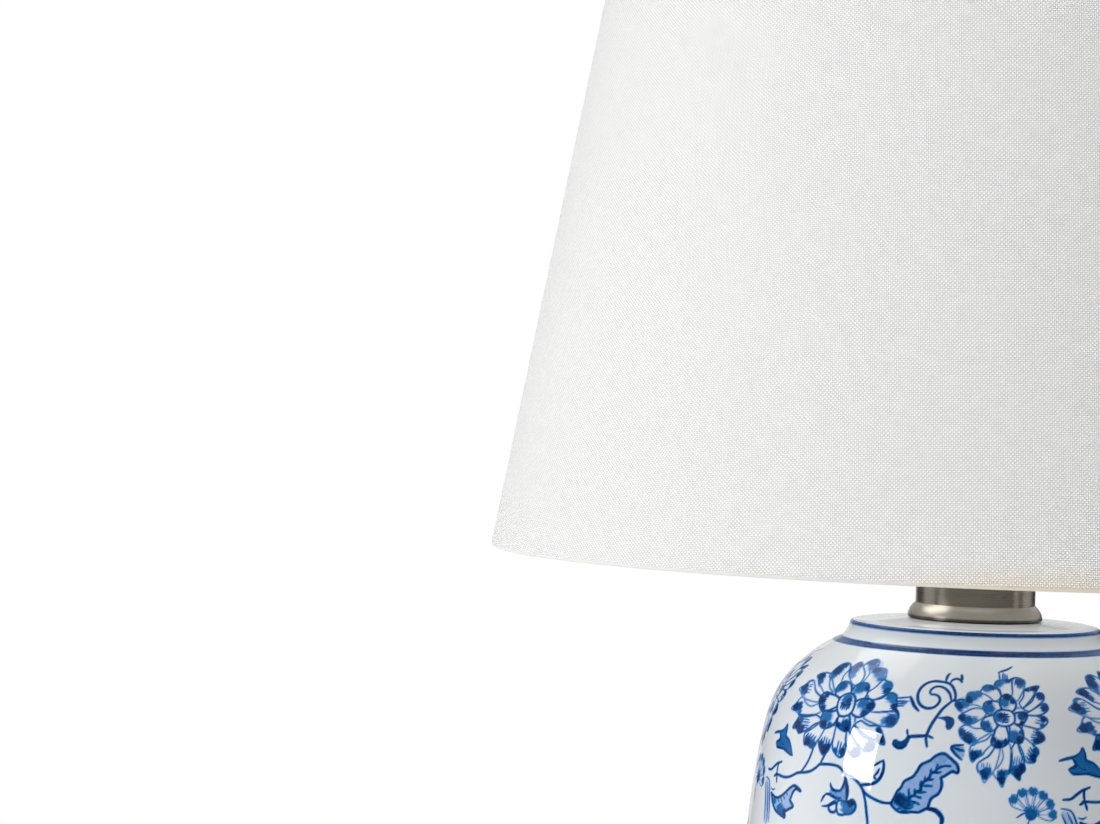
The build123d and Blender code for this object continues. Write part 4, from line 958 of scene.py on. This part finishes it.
# %% The cloth's cross-section
BOTTOM_RADIUS, TOP_RADIUS = 0.1905, 0.1410
BOTTOM_HEIGHT, TOP_HEIGHT = 0.3160, 0.5954
CLOTH = 0.55 * MM
HEM_REACH = 9.0 * MM
rise = np.array([TOP_RADIUS - BOTTOM_RADIUS, TOP_HEIGHT - BOTTOM_HEIGHT])
slant = np.hypot(*rise)
along = rise / slant
outward = np.array([along[1], -along[0]])
lower_edge = np.array([BOTTOM_RADIUS, BOTTOM_HEIGHT])


def wall_spot(up, out):
    """A point of the wall: up the slant from the lower edge, out from the outer face."""
    return lower_edge + along * up + outward * out


def roll(centre_up, ring_out, radius, first, last, count):
    """An arc about a ring wire, in degrees: 0 points outward, 90 up the slant."""
    centre = wall_spot(centre_up, ring_out)
    angles = np.radians(np.linspace(first, last, count))
    return [centre + radius * (outward * math.cos(a) + along * math.sin(a)) for a in angles]


print("slant height", round(slant / MM, 1), "mm")


# %% The line the cloth follows
RING_BELOW = (3.12 * MM, -3.83 * MM)
RING_ABOVE = (slant - 1.76 * MM, -3.83 * MM)
ROUND_RING = 1.83 * MM
INSIDE_FACE = -2.1 * MM
WALL_FACE = -0.30 * MM
LOWER_BEND = ((0.7, -2.4), (0.25, -2.0), (0.1, -1.4), (0.2, -0.75), (0.6, -0.38))
UPPER_BEND = ((-0.6, -0.38), (-0.2, -0.75), (0.0, -1.4), (-0.02, -2.2), (0.02, -2.9))
HEM_POINTS, ROLL_POINTS, WALL_POINTS = 6, 22, 72


def cloth_line():
    """Centre line of the cloth from the lower hem's end to the upper hem's end."""
    low = [wall_spot(u, INSIDE_FACE) for u in np.linspace(3.1 * MM + HEM_REACH, 6.9 * MM, HEM_POINTS)]
    low += roll(*RING_BELOW, ROUND_RING, 50, 285, ROLL_POINTS)
    low += [wall_spot(u * MM, o * MM) for u, o in LOWER_BEND]
    wall = [wall_spot(u, WALL_FACE) for u in np.linspace(1.4 * MM, slant - 1.4 * MM, WALL_POINTS)]
    high = [wall_spot(slant + u * MM, o * MM) for u, o in UPPER_BEND]
    high += roll(*RING_ABOVE, ROUND_RING, 80, 310, ROLL_POINTS)
    high += [wall_spot(slant - u, INSIDE_FACE)
             for u in np.linspace(5.4 * MM, 1.8 * MM + HEM_REACH, HEM_POINTS)]
    return np.array(low + wall + high)


cloth_middle = cloth_line()
heading = np.gradient(cloth_middle, axis=0)
heading /= np.hypot(*heading.T)[:, None]
sideways = np.stack([heading[:, 1], -heading[:, 0]], 1) * CLOTH / 2
cloth_section = np.concatenate([cloth_middle + sideways, (cloth_middle - sideways)[::-1]])
print("cloth line", len(cloth_middle), "points,", round(arc_length(cloth_middle)[-1] / MM, 1), "mm")

# %% [markdown]
# The cloth isn't a perfect cone. It is drawn tight between the rings, so it waves by about a
# tenth of a millimetre, with shorter waves near the hems, where the folded edge puckers. The
# lap at the back stands a third of a millimetre higher over a width of ten.


# %% Turn the cloth, with its waves and its lap
CLOTH_COLUMNS = 1200
LAP_WIDTH = 10.0 * MM
LAP_RAISE = 0.35 * MM
WALL_WAVE, HEM_WAVE = 0.09, 0.06
PUCKER_REACH = 0.012
chance = np.random.default_rng(7)


def slow_waves(angle, low, high, count):
    """A repeating wave round the shade, made of a few sines with chance phases."""
    total = np.zeros_like(angle)
    for turns in chance.integers(low, high, count):
        total += np.sin(turns * angle + chance.uniform(0, 2 * math.pi))
    return total / math.sqrt(count)


def step_up(value, width):
    return np.clip(value / width + 0.5, 0, 1)


around = np.arange(CLOTH_COLUMNS) * 2 * math.pi / CLOTH_COLUMNS
heights = cloth_section[:, 1]
near_hem = sum(np.exp(-np.abs(heights - hem) / PUCKER_REACH) for hem in (BOTTOM_HEIGHT, TOP_HEIGHT))
middle_up = np.sin(math.pi * np.clip((heights - BOTTOM_HEIGHT) / (TOP_HEIGHT - BOTTOM_HEIGHT), 0, 1))
waves = (middle_up[:, None] * slow_waves(around, 3, 17, 6)[None] * WALL_WAVE
         + near_hem[:, None] * slow_waves(around, 40, 140, 9)[None] * HEM_WAVE) * MM
from_back = (around - math.pi) * cloth_section[:, 0, None]
lap = step_up(from_back + LAP_WIDTH / 2, 0.8 * MM) * step_up(LAP_WIDTH / 2 - from_back, 4.0 * MM)
shift = waves + lap * LAP_RAISE
radius_of = cloth_section[:, 0, None] + shift * outward[0]
height_of = heights[:, None] + shift * outward[1]
cloth_points = np.stack([-radius_of * np.sin(around), -radius_of * np.cos(around), height_of], -1)
cloth = mesh_object("shade_cloth", cloth_points.reshape(-1, 3),
                    band_faces(len(cloth_section), CLOTH_COLUMNS, close_rows=True).tolist())
print("cloth points:", len(cloth.data.vertices))

# %% [markdown]
# The weave runs straight in the flat cut, which is a fan, so every point gets its place in that
# fan as a map. The threads then tilt round the shade as they do on a real tapered shade.

# %% The cloth's flat cut
fan = -along[0]
apex_reach = BOTTOM_RADIUS / fan
path_length = arc_length(cloth_middle)
lower_edge_point = HEM_POINTS + ROLL_POINTS + len(LOWER_BEND) // 2 + 1
reach_line = apex_reach - (path_length - path_length[lower_edge_point])
reach = np.concatenate([reach_line, reach_line[::-1]])
loops = np.empty(len(cloth.data.loops), int)
cloth.data.loops.foreach_get("vertex_index", loops)
loop_row, loop_column = np.divmod(loops, CLOTH_COLUMNS)
loop_angle = around[loop_column].reshape(-1, 4)
over_front = loop_angle - loop_angle.min(1, keepdims=True) > math.pi
loop_angle = loop_angle - 2 * math.pi * over_front
past_back = loop_angle.mean(1, keepdims=True) > math.pi
loop_angle = loop_angle - 2 * math.pi * past_back
psi = loop_angle.ravel() * fan
flat_map = np.stack([reach[loop_row] * np.sin(psi), reach[loop_row] * np.cos(psi)], 1)
cloth.data.uv_layers.new(name="cloth").data.foreach_set("uv", flat_map.ravel())
half_angle = math.pi * fan
CUT_WIDE = 2 * reach_line.max() * math.sin(half_angle)
CUT_LONG = reach_line.max() - reach_line.min() * math.cos(half_angle)
CUT_AREA = half_angle * (reach_line.max() ** 2 - reach_line.min() ** 2)
print("cut", round(CUT_WIDE, 3), "by", round(CUT_LONG, 3), "m, area", round(CUT_AREA, 4), "m2")

# %% [markdown]
# ## Woven linen
# A plain weave: threads cross over and under in turn, so a checkerboard of little bumps appears,
# each bump the visible length of one thread. Cells where the weft lies on top are darker, a
# painted shade for light from one side. Threads differ in thickness and tone along their
# whole length, with a thicker slub now and then. The gaps between them get a painted shadow,
# darker and warmer. The hems are plain, and low in the middle, over the neck, the cloth gets a
# faint painted warm light, as if thrown up by the nickel neck.

# %% Linen finish
THREAD = 0.72 * MM
HEM_COLOUR = (0.70, 0.69, 0.66)
GAP_SHADOW_COLOUR = (0.26, 0.23, 0.20)
WEFT_PAINTED_SHADE = 0.76
linen = Finish("shade_linen")
cloth_map = linen.node("UVMap", {"uv_map": "cloth"})
wander = linen.noise(140.0, 2.0, at=cloth_map, out=1)
bent = cloth_map + (wander - 0.5) * (0.22 * THREAD)
warp_wave = (bent.axis(0) * (math.pi / THREAD)).apply("SINE")
weft_wave = (bent.axis(1) * (math.pi / THREAD)).apply("SINE")
over_under = warp_wave * weft_wave
bump_height = abs(over_under) ** 0.45
gap_shadow = linen.fade(abs(warp_wave) + abs(weft_wave), 0.25, 0.95, 1.0, 0.0)


def thread_tones(fast, slow):
    """Streaks that change from thread to thread and slowly along each thread."""
    return linen.noise(1.0, at=cloth_map * (fast, slow, 1))


warp_tone = thread_tones(1 / THREAD, 190)
weft_tone = thread_tones(190, 1 / THREAD)
slubs = linen.fade(thread_tones(110, 0.7 / THREAD), 0.66, 0.76)
which = linen.fade(over_under, -0.3, 0.3)
tone = warp_tone * which + weft_tone * (1 - which)
thread_colour = linen.between(linen.fade(tone, 0.32, 0.68), (0.86, 0.86, 0.86), (0.97, 0.97, 0.97))
relief = bump_height * 0.9 + slubs * 0.3 + tone * 0.3
level = linen.place().axis(2)
above_hem = linen.fade(level, BOTTOM_HEIGHT + 0.3 * MM, BOTTOM_HEIGHT + 1.4 * MM)
below_hem = linen.fade(level, TOP_HEIGHT - 1.3 * MM, TOP_HEIGHT - 0.2 * MM, 1.0, 0.0)
in_weave = above_hem * below_hem
# Painted shade: the gaps between threads and the cells where the weft lies on top are darkened in the colour.
woven = linen.between(gap_shadow * 0.9, linen.between(which, thread_colour, thread_colour * WEFT_PAINTED_SHADE), GAP_SHADOW_COLOUR)
cloth_colour = linen.between(in_weave, HEM_COLOUR, woven)
near_middle = linen.fade(abs(linen.place().axis(0)), 20 * MM, 68 * MM, 1.0, 0.0)
# Painted warm light low on the cloth near the middle, as if the nickel neck threw it there.
warm_light_mask = linen.fade(level, BOTTOM_HEIGHT + 0.5 * MM, BOTTOM_HEIGHT + 10 * MM, 1.0, 0.0) * near_middle
painted_warm_light = linen.between(warm_light_mask, (1, 1, 1), (1.0, 0.925, 0.82))
shade_linen = linen.surface(base_color=cloth_colour * painted_warm_light, roughness=0.80 + 0.12 * tone,
                            normal=linen.bump(relief * in_weave, 0.00035, 1.0),
                            sheen_weight=0.12, sheen_roughness=0.5)
cloth.data.materials.append(shade_linen)
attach(cloth, "shade")
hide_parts("shade_fabric", "shade_top_hem", "shade_bottom_hem")
print("linen thread pitch", THREAD / MM, "mm")

# %% [markdown]
# ## The felt pad
# A disc of pressed felt under the base. Its rim is soft and its underside is slightly uneven,
# so it is made as its own small net instead of a hard-edged disc.

# %% Felt pad
PAD_RADIUS = 74.5 * MM
PAD_THICK = 1.5 * MM
PAD_COLUMNS = 240
PAD_SKIN = 0.05 * MM
rim = [(PAD_RADIUS - 0.5 * MM + 0.5 * MM * math.cos(a), PAD_THICK / 2 + 0.7 * MM * math.sin(a))
       for a in np.linspace(-math.pi / 2, math.pi / 2, 9)]
flats = np.linspace(0.4 * MM, PAD_RADIUS - 0.9 * MM, 34)
pad_line = [(r, PAD_SKIN) for r in flats] + rim + [(r, PAD_THICK - PAD_SKIN) for r in flats[::-1]]
pad_points = turned(pad_line, PAD_COLUMNS)
pad_points[:, 2] += chance.normal(0, 0.02 * MM, len(pad_points))
pad_points[:, 2] = np.clip(pad_points[:, 2], 0, PAD_THICK)
pad_faces = band_faces(len(pad_line), PAD_COLUMNS).tolist()
pad_faces.append(list(range(PAD_COLUMNS))[::-1])
pad_faces.append(list(range(len(pad_points) - PAD_COLUMNS, len(pad_points))))
pad = mesh_object("base_felt", pad_points, pad_faces)
pad.data.materials.append(finishes["felt"])
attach(pad, "stand")
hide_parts("felt_pad")
print("felt points:", len(pad.data.vertices))

# %% [markdown]
# ## Finishes for the solid pieces
# The hard parts keep their solid shape and only get a finish. The saddle, harp and finial are
# brighter than the base and neck, whose nickel is darkened as painted shade; they are also small
# stampings and not brushed on a lathe.

# %% Give every solid piece its finish
PIECES_IN = {
    "brushed_nickel": "base_shell neck_column neck_top_plate",
    "lit_flare_nickel": "vase_cap",
    "bright_nickel": "harp_saddle socket_cap socket_shell harp_wire harp_stud harp_sleeve_left "
                     "harp_sleeve_right spider_hub finial",
    "cast_iron": "base_ballast",
    "zinc_steel": "base_washer base_nut threaded_tube saddle_nut socket_set_screw",
    "black_plastic": "cord_bushing socket_body switch_knob",
    "rubber": "jar_foot_gasket vase_cap_gasket",
    "card": "socket_insulator",
    "brass": "socket_screw_shell socket_center_contact terminal_screws switch_shaft bulb_contact",
    "black_glass": "bulb_insulator",
    "bulb_metal": "bulb_screw_base",
    "frosted_glass": "bulb_globe",
    "shade_liner": "shade_liner shade_seam",
    "ring_wire": "shade_top_ring shade_bottom_ring spider_arms",
}
for finish, names in PIECES_IN.items():
    for name in names.split():
        mesh = nodes[name].data
        mesh.materials.clear()
        mesh.materials.append(finishes[finish])
print("finished pieces:", sum(len(names.split()) for names in PIECES_IN.values()))
